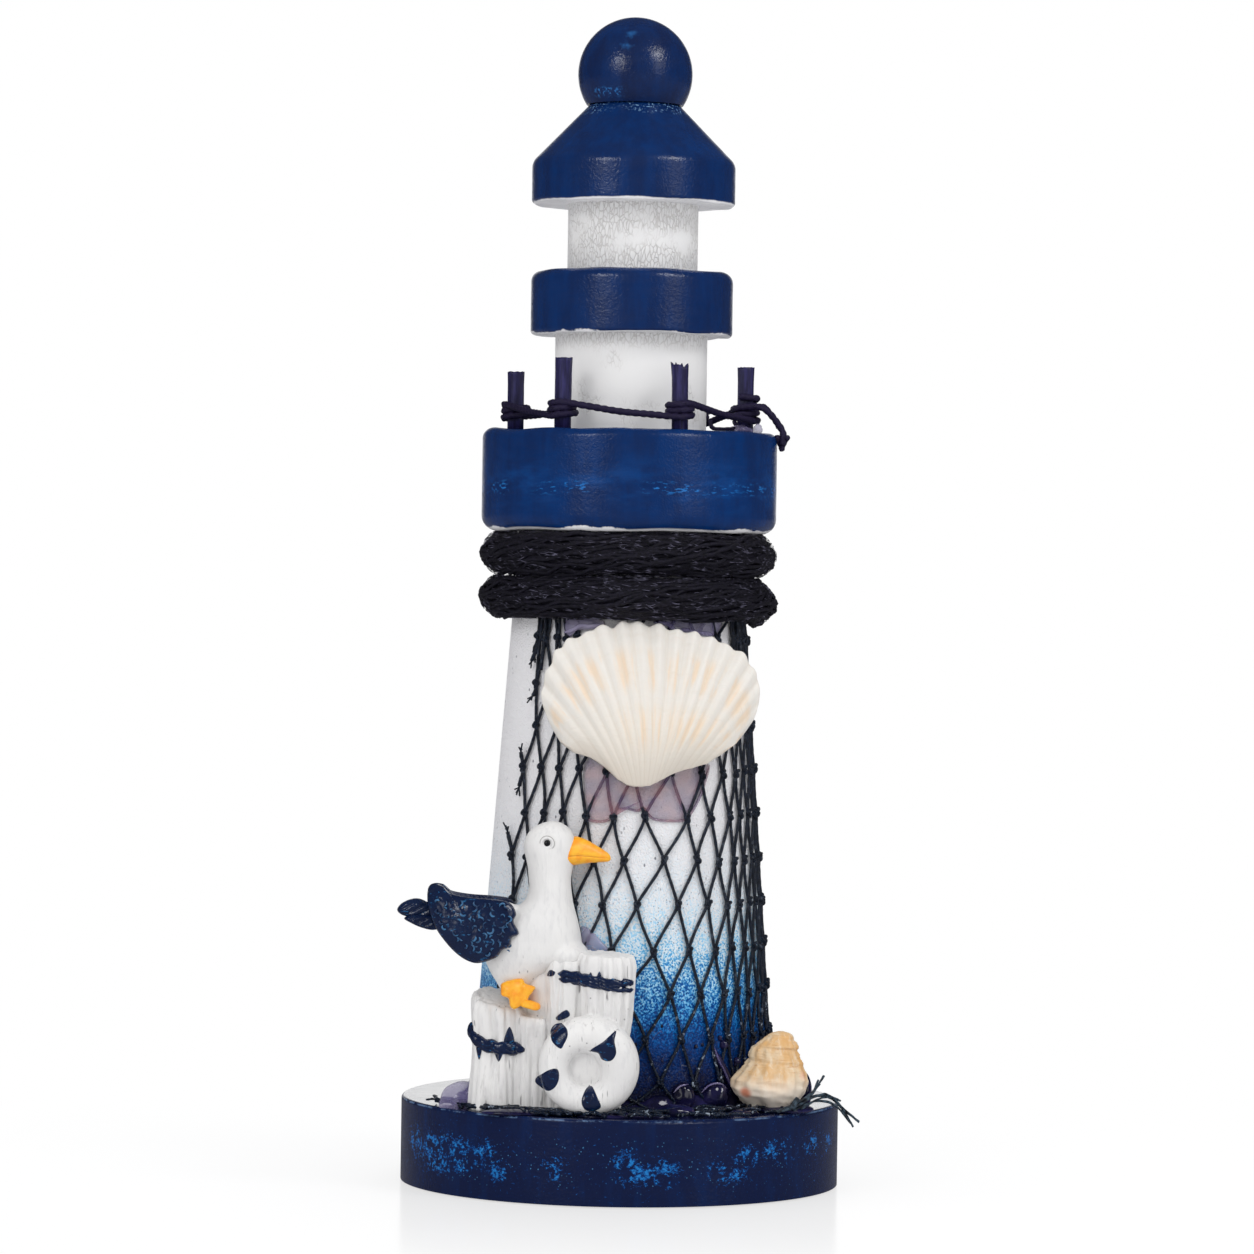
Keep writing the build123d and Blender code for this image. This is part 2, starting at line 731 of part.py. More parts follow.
# Gull: one casting of a standing gull, four pilings with lashings and a life ring
gull_x, gull_y = gull_place
gull_middle = Vector(gull_x, gull_y, base_height + gull_body_height)
gull_pitch = radians(gull_body_pitch)
gull_along = Vector(cos(gull_pitch), 0, -sin(gull_pitch))
head_middle = gull_middle + Vector(gull_head_offset, 0, gull_head_rise)
chest_middle = gull_middle + Vector(gull_chest_offset, 0, gull_chest_rise)
ring_x, ring_y = life_ring_place
with BuildPart() as gull_figurine:
    for (x, y), radius, height in zip(piling_places, piling_radii, piling_heights):
        with BuildSketch(Plane((x, y, base_height))):
            Circle(radius)
        extrude(amount=height)
    for index, drop in zip((0, 3), lashing_drops):
        x, y = piling_places[index]
        with Locations((x, y, base_height + piling_heights[index] - drop)):
            Torus(piling_radii[index], lashing_radius)
    with Locations(Location((ring_x, ring_y, base_height + life_ring_height),
                            (quarter_turn - life_ring_lean, 0, -life_ring_turn))):
        Torus(life_ring_radius, life_ring_tube)
    with BuildSketch(Plane(gull_middle, x_dir=gull_along, z_dir=(0, -1, 0))):
        with BuildLine():
            EllipticalCenterArc((0, 0), gull_body_half_length, gull_body_half_depth, 0, arc_size=half_turn)
            Line((-gull_body_half_length, 0), (gull_body_half_length, 0))
        make_face()
    revolve(axis=Axis(gull_middle, gull_along))
    leg_foot = base_height + piling_heights[1] - gull_leg_radius
    with BuildSketch(Plane((piling_places[1][0], gull_y, leg_foot))):
        Circle(gull_leg_radius)
    extrude(amount=gull_middle.Z - leg_foot)
    with Locations(head_middle):
        Sphere(gull_head_radius)
    with BuildSketch(Plane(chest_middle)):
        Circle(gull_chest_radius)
    with BuildSketch(Plane(head_middle)):
        Circle(gull_neck_radius)
    loft()
    beak_root = head_middle - Vector(0, 0, gull_beak_drop)
    beak_length = gull_head_radius + gull_beak_length
    with BuildSketch(Plane(beak_root, x_dir=(1, 0, 0), z_dir=(0, -1, 0))):
        with BuildLine():
            root_radius = gull_beak_radius * beak_length / gull_beak_length
            Polyline((0, 0), (beak_length, 0), (0, root_radius), close=True)
        make_face()
    revolve(axis=Axis(beak_root, (1, 0, 0)))
    rear = zip(gull_rear_offsets, gull_rear_half_widths, gull_rear_half_heights, gull_rear_rises)
    for offset_back, half_width, half_height, rise in rear:
        rear_middle = gull_middle + Vector(-offset_back, 0, rise)
        with BuildSketch(Plane(rear_middle, x_dir=(0, 1, 0), z_dir=(-1, 0, 0))):
            Ellipse(half_width, half_height)
    loft()
    split(bisect_by=Plane.XY.offset(base_height), keep=Keep.TOP)
    add(tower_room(net_skin + gull_clearance), mode=Mode.SUBTRACT)

# Battery case: a moulded box in the base's pocket, open below, with a bay for the cells, a bay for
# the switch and two screw ears
with BuildPart() as battery_case:
    with BuildSketch(Plane.XY.offset(case_mouth)):
        Rectangle(case_length, 2 * case_half_width)
    extrude(amount=case_top - case_mouth)
    with BuildSketch(Plane.XY.offset(ear_floor)):
        for x, y in ear_places:
            with Locations((x, y / 2)):
                Rectangle(2 * ear_radius, abs(y))
            with Locations((x, y)):
                Circle(ear_radius)
    extrude(amount=ear_thickness)
    with BuildSketch(Plane.XY.offset(case_mouth)):
        with Locations(((bay_start + door_end + door_gap) / 2, 0)):
            Rectangle(door_end + door_gap - bay_start, 2 * (door_half_width + door_gap))
    extrude(amount=door_top - case_mouth, mode=Mode.SUBTRACT)
    with BuildSketch(Plane.XY.offset(door_top)):
        with Locations(((bay_start + bay_end) / 2, 0)):
            Rectangle(bay_length, 2 * bay_half_width)
    extrude(amount=case_inside_top - door_top, mode=Mode.SUBTRACT)
    with BuildSketch(Plane.XY.offset(switch_base)):
        with Locations((switch_x, 0)):
            Rectangle(switch_bay_length, 2 * (case_half_width - case_wall))
    extrude(amount=case_inside_top - switch_base, mode=Mode.SUBTRACT)
    with BuildSketch(Plane.XY.offset(case_mouth)):
        with Locations((switch_x, 0)):
            Rectangle(switch_bay_length, 2 * (case_half_width - case_wall))
    extrude(amount=switch_floor - case_mouth, mode=Mode.SUBTRACT)
    with BuildSketch(Plane.XY.offset(switch_floor)):
        with Locations((switch_x, 0)):
            Rectangle(knob_width + 2 * knob_gap, knob_length + knob_travel + 2 * knob_gap)
    extrude(amount=case_wall, mode=Mode.SUBTRACT)
    with BuildSketch(Plane.XY.offset(case_inside_top)):
        with Locations((switch_x, 0)):
            Circle(wire_hole_radius)
    extrude(amount=case_wall, mode=Mode.SUBTRACT)
    with BuildSketch(Plane.XY.offset(ear_floor)):
        with Locations(*ear_places):
            Circle(case_screw_radius + screw_hole_gap)
    extrude(amount=ear_thickness, mode=Mode.SUBTRACT)
    with BuildSketch(Plane((hinge_x, 0, hinge_height), x_dir=(1, 0, 0), z_dir=(0, 1, 0))):
        Circle(hinge_pin_radius + hinge_clearance)
    extrude(amount=door_half_width + door_gap + hinge_pin_length, both=True, mode=Mode.SUBTRACT)
    for y, height in ((-cell_offset, switch_top), (cell_offset, switch_top + negative_strip_rise)):
        with BuildSketch(Plane.XY.offset(height - strip_slot_gap)):
            with Locations((bay_end + case_divider / 2, y)):
                Rectangle(case_divider, strip_width + 2 * strip_slot_gap)
        extrude(amount=contact_thickness + 2 * strip_slot_gap, mode=Mode.SUBTRACT)

# Battery door: a flat lid with a rounded hinge end, two hinge pins and a finger notch
with BuildPart() as battery_door:
    with BuildSketch(Plane((0, 0, 0), x_dir=(1, 0, 0), z_dir=(0, -1, 0)).offset(-door_half_width)):
        with Locations((hinge_x, hinge_height)):
            Circle(door_thickness / 2)
        with Locations(((hinge_x + door_end) / 2, hinge_height)):
            Rectangle(door_end - hinge_x, door_thickness)
    extrude(amount=2 * door_half_width)
    with BuildSketch(Plane((hinge_x, 0, hinge_height), x_dir=(1, 0, 0), z_dir=(0, 1, 0))):
        Circle(hinge_pin_radius)
    extrude(amount=door_half_width + door_gap + hinge_pin_length - hinge_clearance, both=True)
    with BuildSketch(Plane.XY.offset(door_low)):
        with Locations((door_end + door_notch_radius - door_notch_depth, 0)):
            Circle(door_notch_radius)
    extrude(amount=door_thickness, mode=Mode.SUBTRACT)

# Cells: two AAA cells side by side, head to tail
cells = []
for side in (1, -1):
    nub_tip = bay_start + contact_thickness + contact_gap
    if side < 0:
        nub_tip = bay_end - contact_thickness - contact_gap
    with BuildPart() as battery_cell:
        with BuildSketch(Plane((nub_tip, side * cell_offset, cell_axis_height), z_dir=(side, 0, 0))):
            Circle(cell_nub_radius)
        extrude(amount=cell_length)
        can_end = nub_tip + side * cell_nub_length
        with BuildSketch(Plane((can_end, side * cell_offset, cell_axis_height), z_dir=(side, 0, 0))):
            Circle(cell_radius)
        extrude(amount=cell_length - cell_nub_length)
    cells.append(battery_cell)

# Contacts: a bridging plate at the far end, and two plates with strips that reach the switch bay
with BuildPart() as contact_bridge:
    with BuildSketch(Plane((bay_start, 0, cell_axis_height), x_dir=(0, 1, 0), z_dir=(1, 0, 0))):
        Rectangle(2 * cell_offset + contact_width, contact_height)
    extrude(amount=contact_thickness)
plate_x = bay_end - contact_thickness
with BuildPart() as contact_positive:
    with BuildSketch(Plane((plate_x, -cell_offset, cell_axis_height), x_dir=(0, 1, 0), z_dir=(1, 0, 0))):
        Rectangle(contact_width, contact_height)
    extrude(amount=contact_thickness)
    with BuildSketch(Plane.XY.offset(switch_top)):
        with Locations(((plate_x + switch_x) / 2, -cell_offset)):
            Rectangle(switch_x - plate_x, strip_width)
    extrude(amount=contact_thickness)
with BuildPart() as contact_negative:
    with BuildSketch(Plane((plate_x, cell_offset, cell_axis_height), x_dir=(0, 1, 0), z_dir=(1, 0, 0))):
        Rectangle(contact_width, contact_height)
    extrude(amount=contact_thickness)
    with BuildSketch(Plane.XY.offset(switch_top + negative_strip_rise)):
        with Locations(((plate_x + switch_x + strip_width / 2) / 2, cell_offset)):
            Rectangle(switch_x + strip_width / 2 - plate_x, strip_width)
        with Locations((switch_x, (cell_offset + lead_offset - wire_radius) / 2)):
            Rectangle(strip_width, cell_offset - lead_offset + wire_radius + strip_width)
    extrude(amount=contact_thickness)

# Springs: a wire spring on the plate behind each cell's flat end, wound smaller towards the cell
with BuildPart() as contact_springs:
    for side in (1, -1):
        seat = bay_end - contact_thickness if side > 0 else bay_start + contact_thickness
        axis_point = Vector(seat, side * cell_offset, cell_axis_height)
        spring_axis = Vector(-side, 0, 0)
        coil_start = spring_wire_radius + contact_gap
        coil_length = spring_length - 2 * coil_start
        coil_steps = spring_turn_count * full_turn // quarter_turn
        spring_stations = []
        for step in range(coil_steps + 1):
            turn = radians(quarter_turn * step)
            radius = spring_base_radius + (spring_tip_radius - spring_base_radius) * step / coil_steps
            away = Vector(0, cos(turn), sin(turn))
            onward = Vector(0, -sin(turn), cos(turn)) * radius * radians(full_turn) * spring_turn_count
            place = axis_point + spring_axis * (coil_start + coil_length * step / coil_steps)
            spring_stations.append(
                (place + away * radius, (onward + spring_axis * coil_length).normalized())
            )
        with BuildLine() as spring_line:
            draw_route(spring_stations)
        with BuildSketch(Plane(spring_line.line @ 0, z_dir=spring_stations[0][1])):
            Circle(spring_wire_radius)
        sweep()

# Slide switch: a body on the case's floor and a knob that slides in it, across the case
with BuildPart() as switch_body:
    with BuildSketch(Plane.XY.offset(switch_base)):
        with Locations((switch_x, 0)):
            Rectangle(switch_width, switch_length)
    extrude(amount=switch_height)
    with BuildSketch(Plane.XY.offset(switch_base)):
        with Locations((switch_x, 0)):
            Rectangle(knob_width + 2 * knob_gap, knob_length + knob_travel + 2 * knob_gap)
    extrude(amount=switch_wall, mode=Mode.SUBTRACT)
    with BuildSketch(Plane.XY.offset(switch_base + switch_wall)):
        with Locations((switch_x, 0)):
            Rectangle(
                knob_width + 2 * (carriage_margin + knob_gap),
                knob_length + knob_travel + 2 * (carriage_margin + knob_gap),
            )
    extrude(amount=carriage_height + 2 * knob_gap, mode=Mode.SUBTRACT)
with BuildPart() as switch_knob:
    knob_y = -knob_travel / 2
    carriage_floor = switch_base + switch_wall + knob_gap
    with BuildSketch(Plane((switch_x, knob_y, knob_tip_height))):
        Rectangle(knob_width, knob_length)
    extrude(amount=carriage_floor - knob_tip_height)
    with BuildSketch(Plane((switch_x, knob_y, carriage_floor))):
        Rectangle(knob_width + 2 * carriage_margin, knob_length + 2 * carriage_margin)
    extrude(amount=carriage_height)

# Screws: two that hold the case by its ears, and two that draw the tower down on the base
with BuildPart() as case_screws:
    with BuildSketch(Plane.XY.offset(ear_floor - case_screw_head_height)):
        with Locations(*ear_places):
            Circle(case_screw_head_radius)
    extrude(amount=case_screw_head_height)
    with BuildSketch(Plane.XY.offset(ear_floor)):
        with Locations(*ear_places):
            Circle(case_screw_radius)
    extrude(amount=case_screw_length)
with BuildPart() as tower_screws:
    for side in (1, -1):
        with BuildSketch(Plane.XZ.offset(-side * tower_screw_y)):
            with BuildLine():
                Polyline(
                    (0, tower_screw_sink),
                    (tower_screw_head_radius, tower_screw_sink),
                    (tower_screw_radius, tower_screw_sink + tower_screw_head_radius - tower_screw_radius),
                    (tower_screw_radius, tower_screw_sink + tower_screw_length),
                    (0, tower_screw_sink + tower_screw_length),
                    close=True,
                )
            make_face()
        revolve(axis=Axis((0, side * tower_screw_y, 0), (0, 0, 1)))

# Lamp: a round lamp on two leads, in a disc that sits on the ring's boss inside the lantern
with BuildPart() as led_holder:
    with BuildSketch(Plane.XY.offset(boss_top)):
        Circle(lantern_bore - holder_gap)
        Circle(holder_hole_radius, mode=Mode.SUBTRACT)
    extrude(amount=holder_thickness)
with BuildPart() as led_lamp:
    with BuildSketch(Plane.XY.offset(holder_top)):
        Circle(led_flange_radius)
    extrude(amount=led_flange_height)
    with BuildSketch(Plane.XY.offset(holder_top + led_flange_height)):
        Circle(led_radius)
    extrude(amount=led_barrel_height)
    with Locations((0, 0, holder_top + led_flange_height + led_barrel_height)):
        Sphere(led_radius)
with BuildPart() as led_leads:
    with BuildSketch(Plane.XY.offset(lead_foot)):
        with Locations((0, lead_offset), (0, -lead_offset)):
            Circle(lead_radius)
    extrude(amount=lead_length)

# Wires: from the switch and the negative strip up through the base, along the tower's groove and
# up the bore and the stem to the lamp's leads
wire_level = base_height + wire_groove_height / 2
wires = []
for side, start_height in ((-1, switch_top), (1, switch_top + negative_strip_rise + contact_thickness)):
    with BuildPart() as wire:
        with BuildLine() as wire_line:
            FilletPolyline(
                (switch_x, side * lead_offset, start_height),
                (switch_x, side * lead_offset, wire_level),
                (0, side * lead_offset, wire_level),
                (0, side * lead_offset, lead_foot),
                radius=wire_bend_radius,
            )
        with BuildSketch(Plane((switch_x, side * lead_offset, start_height))):
            Circle(wire_radius)
        sweep()
    wires.append(wire)
    print("wire", round(wire_line.wire().length, 1), "mm long, bend radius", wire_bend_radius)

pieces = {
    "base_disc": base_disc,
    "tower": tower,
    "gallery_disc": gallery_disc,
    "lower_drum": lower_drum,
    "middle_ring": middle_ring,
    "stem_tube": stem_tube,
    "lantern_tube": lantern_tube,
    "roof": roof,
    "finial_ball": finial_ball,
    "finial_dowel": finial_dowel,
    "rail_twine": rail_twine,
    "rope_wrap": rope_wrap,
    "fishing_net": fishing_net,
    "scallop_shell": scallop_shell,
    "scallop_glue": scallop_glue,
    "whelk_shell": whelk_shell,
    "whelk_glue": whelk_glue,
    "gull_figurine": gull_figurine,
    "battery_case": battery_case,
    "battery_door": battery_door,
    "contact_bridge": contact_bridge,
    "contact_positive": contact_positive,
    "contact_negative": contact_negative,
    "contact_springs": contact_springs,
    "switch_body": switch_body,
    "switch_knob": switch_knob,
    "case_screws": case_screws,
    "tower_screws": tower_screws,
    "led_holder": led_holder,
    "led_lamp": led_lamp,
    "led_leads": led_leads,
    "wire_red": wires[0],
    "wire_black": wires[1],
}
for index, rail_post in enumerate(rail_posts):
    pieces[f"rail_post_{index + 1}"] = rail_post
for index, battery_cell in enumerate(cells):
    pieces[f"battery_cell_{index + 1}"] = battery_cell
for name, piece in pieces.items():
    piece.part.label = name
    export_step(piece.part, f"parts/{name}.step")
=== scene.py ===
# Lighthouse ornament: turned, painted wood with rope, net, shells and a cast gull, and a battery
# lamp inside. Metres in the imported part's own frame, +Z up and the front at -Y. Sizes written
# below are millimetres until a piece is made.
import math
import random

import bmesh
import bpy
import numpy as np
from mathutils import Matrix, Vector, noise
from mathutils.bvhtree import BVHTree


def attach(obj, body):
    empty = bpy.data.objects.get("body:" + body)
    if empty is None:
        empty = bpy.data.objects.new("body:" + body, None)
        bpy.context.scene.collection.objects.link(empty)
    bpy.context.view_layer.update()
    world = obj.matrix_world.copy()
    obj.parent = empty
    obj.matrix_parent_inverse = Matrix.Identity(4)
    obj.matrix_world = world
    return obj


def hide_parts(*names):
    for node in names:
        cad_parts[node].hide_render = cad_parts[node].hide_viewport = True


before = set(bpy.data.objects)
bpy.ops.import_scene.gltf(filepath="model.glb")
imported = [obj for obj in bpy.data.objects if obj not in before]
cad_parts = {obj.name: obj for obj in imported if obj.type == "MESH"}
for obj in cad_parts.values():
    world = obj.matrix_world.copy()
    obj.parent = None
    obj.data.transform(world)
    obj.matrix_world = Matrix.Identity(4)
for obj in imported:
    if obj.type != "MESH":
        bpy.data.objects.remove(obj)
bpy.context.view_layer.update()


# Studio: a pale floor in a white surround, with a soft box in front on each side and one above.
# The camera stands a metre away, level with the tower's upper half, as the photograph was taken.
millimetre = 0.001
white = (1.0, 1.0, 1.0, 1.0)
studio = bpy.context.scene
studio.view_settings.view_transform = "Standard"


def add_node(tree, kind, inputs=None, **settings):
    node = tree.nodes.new(kind)
    for name, value in settings.items():
        setattr(node, name, value)
    for name, value in (inputs or {}).items():
        if isinstance(value, bpy.types.NodeSocket):
            tree.links.new(value, node.inputs[name])
        else:
            node.inputs[name].default_value = value
    return node


def shade(red, green, blue):
    """A paint chip's red, green and blue, 0 to 255, as the renderer's own colour."""
    chip = [value / 255 for value in (red, green, blue)]
    return tuple(c / 12.92 if c <= 0.04045 else ((c + 0.055) / 1.055) ** 2.4 for c in chip) + (1.0,)


surround = bpy.data.worlds.new("surround")
studio.world = surround
surround.use_nodes = True
air = surround.node_tree
air.nodes.clear()


def air_math(operation, first, second=0.0):
    return add_node(air, "ShaderNodeMath", {0: first, 1: second}, operation=operation).outputs[0]


def air_range(value, low, high, least=0.0, most=1.0):
    inputs = {"Value": value, "From Min": low, "From Max": high, "To Min": least, "To Max": most}
    return add_node(air, "ShaderNodeMapRange", inputs, interpolation_type="SMOOTHSTEP").outputs[0]


def air_glow(strength):
    return add_node(air, "ShaderNodeBackground", {"Color": white, "Strength": strength}).outputs[0]


ray = add_node(air, "ShaderNodeLightPath").outputs
bearing = add_node(air, "ShaderNodeTexCoord").outputs["Generated"]
toward_x, toward_y, toward_z = add_node(air, "ShaderNodeSeparateXYZ", {0: bearing}).outputs
behind_white = air_math("MULTIPLY", ray["Is Glossy Ray"], air_range(toward_y, 0.93, 0.985))
seen_through = air_math("MAXIMUM", ray["Is Camera Ray"], ray["Is Transmission Ray"])
shows_white = air_math("MAXIMUM", seen_through, behind_white)
room_light = air_math("ADD", air_range(toward_z, -0.2, 1.0, 0.60, 0.78),
                      air_range(toward_y, 0.2, -0.9, 0.0, 0.5))
glossy_dim = air_math("SUBTRACT", 1.0, air_math("MULTIPLY", ray["Is Glossy Ray"], 0.93))
room_light = air_math("MULTIPLY", room_light, glossy_dim)
swung = air_math("ARCTAN2", toward_x, air_math("MULTIPLY", toward_y, -1.0))
window = air_math("MAXIMUM", air_range(air_math("ABSOLUTE", air_math("ADD", swung, 0.58)), 0.30, 0.06),
                  air_range(air_math("ABSOLUTE", air_math("SUBTRACT", swung, 0.86)), 0.30, 0.06))
window = air_math("MULTIPLY", window, air_range(toward_z, -0.06, 0.14, 0.0, 1.5))
window = air_math("MULTIPLY", window, air_range(toward_z, 0.6, 0.4))
room_light = air_math("ADD", room_light, air_math("MULTIPLY", window, ray["Is Glossy Ray"]))
whole_air = add_node(air, "ShaderNodeMixShader",
                     {0: shows_white, 1: air_glow(room_light), 2: air_glow(1.0)})
add_node(air, "ShaderNodeOutputWorld", {"Surface": whole_air.outputs[0]})

floor_span, floor_gap = 3.0, 0.0003
floor_mesh = bpy.data.meshes.new("floor")
floor_mesh.from_pydata([(-floor_span, -floor_span, 0), (floor_span, -floor_span, 0),
                        (floor_span, floor_span, 0), (-floor_span, floor_span, 0)], [], [(0, 1, 2, 3)])
floor = bpy.data.objects.new("floor", floor_mesh)
floor.location.z = -floor_gap
studio.collection.objects.link(floor)
floor_finish = bpy.data.materials.new("pale_floor")
floor_finish.use_nodes = True
floor_tree = floor_finish.node_tree
floor_tree.nodes.clear()
floor_ray = add_node(floor_tree, "ShaderNodeLightPath").outputs
floor_place = add_node(floor_tree, "ShaderNodeTexCoord").outputs["Object"]
floor_reach = add_node(floor_tree, "ShaderNodeVectorMath", {0: floor_place},
                       operation="LENGTH").outputs["Value"]
floor_white = add_node(floor_tree, "ShaderNodeMapRange",
                       {"Value": floor_reach, "From Min": 0.05, "From Max": 0.2,
                        "To Min": 0.62, "To Max": 1.0}, interpolation_type="SMOOTHSTEP").outputs[0]
floor_seen = add_node(floor_tree, "ShaderNodeMath", {0: floor_white, 1: floor_ray["Is Camera Ray"]},
                      operation="MULTIPLY").outputs[0]
floor_lit = add_node(floor_tree, "ShaderNodeBsdfPrincipled",
                     {"Base Color": (0.93, 0.93, 0.94, 1.0), "Roughness": 0.16,
                      "Specular IOR Level": 0.22})
floor_glow = add_node(floor_tree, "ShaderNodeEmission", {"Color": white, "Strength": 1.0})
floor_mix = add_node(floor_tree, "ShaderNodeMixShader",
                     {0: floor_seen, 1: floor_lit.outputs[0], 2: floor_glow.outputs[0]})
floor_dim = add_node(floor_tree, "ShaderNodeEmission", {"Color": (0.9, 0.9, 1.0, 1.0), "Strength": 0.2})
floor_all = add_node(floor_tree, "ShaderNodeMixShader",
                     {0: floor_ray["Is Glossy Ray"], 1: floor_mix.outputs[0], 2: floor_dim.outputs[0]})
add_node(floor_tree, "ShaderNodeOutputMaterial", {"Surface": floor_all.outputs[0]})
floor_mesh.materials.append(floor_finish)
lamp_aim = Vector((0, 0, 0.13))


def hang_lamp(name, azimuth, elevation, distance, width, power):
    lamp = bpy.data.lights.new(name, "AREA")
    lamp.shape = "DISK"
    lamp.size = width
    lamp.energy = power
    holder = bpy.data.objects.new(name, lamp)
    side, lift = math.radians(azimuth), math.radians(elevation)
    away = Vector((math.sin(side) * math.cos(lift), -math.cos(side) * math.cos(lift), math.sin(lift)))
    holder.location = lamp_aim + away * distance
    holder.rotation_euler = away.to_track_quat("Z", "Y").to_euler()
    studio.collection.objects.link(holder)
    return holder


hang_lamp("left_soft_box", -34, 26, 1.3, 0.34, 2.1)
hang_lamp("right_soft_box", 52, 40, 1.3, 0.40, 3.3)
hang_lamp("top_soft_box", 160, 62, 1.4, 0.9, 3.0).visible_glossy = False

camera_pitch = math.radians(0.69)
camera_roll = math.radians(0.875)
forward = Vector((0, math.cos(camera_pitch), -math.sin(camera_pitch)))
level = Vector((1, 0, 0))
upright = level.cross(forward)
camera_right = level * math.cos(camera_roll) + upright * math.sin(camera_roll)
camera_up = upright * math.cos(camera_roll) - level * math.sin(camera_roll)
camera = bpy.data.objects.new("camera", bpy.data.cameras.new("camera"))
camera.data.sensor_width = 36.0
camera.data.lens = 142.97
camera.matrix_world = Matrix((camera_right, camera_up, -forward)).transposed().to_4x4()
camera.location = (0.0, -1.072, 0.132)
studio.collection.objects.link(camera)
studio.camera = camera


# Base: a turned wooden disc brushed with navy gloss paint, its side rubbed to a brighter blue in
# patches. It stands on its flat underside, where the battery case is let in.
class Finish:
    """One procedural finish: its nodes, its shader, its tone so far, and the place in millimetres."""

    def __init__(self, name, **sockets):
        self.material = bpy.data.materials.new(name)
        self.material.use_nodes = True
        self.tree = self.material.node_tree
        self.shader = self.tree.nodes["Principled BSDF"]
        spot = self.add("ShaderNodeTexCoord")
        self.place = self.add("ShaderNodeVectorMath", {0: spot.outputs["Object"], "Scale": 1000.0},
                              operation="SCALE").outputs[0]
        self.across, self.deep, self.height = self.add("ShaderNodeSeparateXYZ", {0: self.place}).outputs
        facing = self.add("ShaderNodeNewGeometry").outputs["Normal"]
        self.facing_up = self.add("ShaderNodeSeparateXYZ", {0: facing}).outputs["Z"]
        self.surface = self.tone = self.cloud = None
        self.put(**sockets)

    def add(self, kind, inputs=None, **settings):
        return add_node(self.tree, kind, inputs, **settings)

    def put(self, **sockets):
        for name, value in sockets.items():
            socket = self.shader.inputs[name.replace("_", " ")]
            if isinstance(value, bpy.types.NodeSocket):
                self.tree.links.new(value, socket)
            else:
                socket.default_value = value

    def stretched(self, stretch):
        return self.add("ShaderNodeVectorMath", {0: self.place, 1: stretch},
                        operation="MULTIPLY").outputs[0]

    def noise(self, per_mm, detail=3.0, rough=0.55, stretch=(1.0, 1.0, 1.0), twist=0.0):
        made = self.add("ShaderNodeTexNoise", {"Vector": self.stretched(stretch), "Scale": per_mm,
                                               "Detail": detail, "Roughness": rough, "Distortion": twist})
        return made.outputs[0]

    def cells(self, per_mm, stretch=(1.0, 1.0, 1.0), feature="F1", place=None):
        where = self.stretched(stretch) if place is None else place
        made = self.add("ShaderNodeTexVoronoi", {"Vector": where, "Scale": per_mm}, feature=feature)
        return made.outputs["Distance"]

    def calc(self, operation, first, second=0.0):
        return self.add("ShaderNodeMath", {0: first, 1: second}, operation=operation).outputs[0]

    def share(self, value, low, high, least=0.0, most=1.0):
        """A smooth step from least to most while the value goes from low to high."""
        inputs = {"Value": value, "From Min": low, "From Max": high, "To Min": least, "To Max": most}
        return self.add("ShaderNodeMapRange", inputs, interpolation_type="SMOOTHSTEP").outputs[0]

    def times(self, first, *others):
        """The product of all the values."""
        for other in others:
            first = self.calc("MULTIPLY", first, other)
        return first

    def patchy(self, low, high, *cloud, **settings):
        """Patches of noise: 0 where it is under low and 1 where it is over high."""
        return self.share(self.noise(*cloud, **settings), low, high)

    def by_height(self, low, high, least=0.0, most=1.0):
        return self.share(self.height, low, high, least, most)

    def band(self, value, rise, fall):
        """1 between a rise and a fall of the value, each given by its two ends."""
        return self.times(self.share(value, *rise), self.share(value, *fall))

    def near(self, spot, reach):
        """1 at a spot on the piece, falling to 0 at its reach."""
        apart = self.add("ShaderNodeVectorMath", {0: self.place, 1: spot},
                         operation="DISTANCE").outputs["Value"]
        return self.share(apart, reach, reach * 0.35)

    def blend(self, share, under, over):
        made = self.add("ShaderNodeMix", {0: share, 6: under, 7: over}, data_type="RGBA")
        return made.outputs[2]

    def cover(self, share, colour, under=None):
        """Lays a colour over the tone so far, or over a first one under it, where the share is 1."""
        self.tone = self.blend(share, self.tone if under is None else under, colour)
        self.put(Base_Color=self.tone)

    def ramp(self, value, stops):
        made = self.add("ShaderNodeValToRGB", {0: value})
        while len(made.color_ramp.elements) < len(stops):
            made.color_ramp.elements.new(0.5)
        for element, (position, colour) in zip(made.color_ramp.elements, stops):
            element.position = position
            element.color = colour
        return made.outputs["Color"]

    def relief(self, height, depth):
        """Raises the surface by up to depth millimetres where height is 1."""
        inputs = {"Height": height, "Distance": depth * millimetre, "Strength": 1.0}
        if self.surface is not None:
            inputs["Normal"] = self.surface
        self.surface = self.add("ShaderNodeBump", inputs).outputs[0]
        self.put(Normal=self.surface)


def coat(node, finish):
    """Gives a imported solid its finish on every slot."""
    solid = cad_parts[node]
    solid.data.materials.clear()
    solid.data.materials.append(finish.material)


navy = shade(15, 26, 60)
navy_lit = shade(3, 45, 100)
undercoat = shade(240, 239, 240)


def navy_paint(name, fresh=0.5, gloss=0.42):
    """Brushed navy gloss with a fine orange-peel skin; fresh is how blue it is."""
    finish = Finish(name, Specular_IOR_Level=gloss)
    brush = finish.noise(0.16, 4.0, 0.6, (1.5, 1.5, 0.35))
    finish.cover(finish.share(brush, 0.30, 0.72, fresh - 0.22, fresh + 0.22), navy_lit, under=navy)
    drag = finish.noise(0.4, 3.0, 0.6, (0.4, 0.4, 1.6))
    finish.put(Roughness=finish.share(drag, 0.2, 0.8, 0.16, 0.27))
    finish.relief(finish.noise(1.5, 2.0, 0.5, twist=0.6), 0.085)
    finish.relief(drag, 0.025)
    return finish


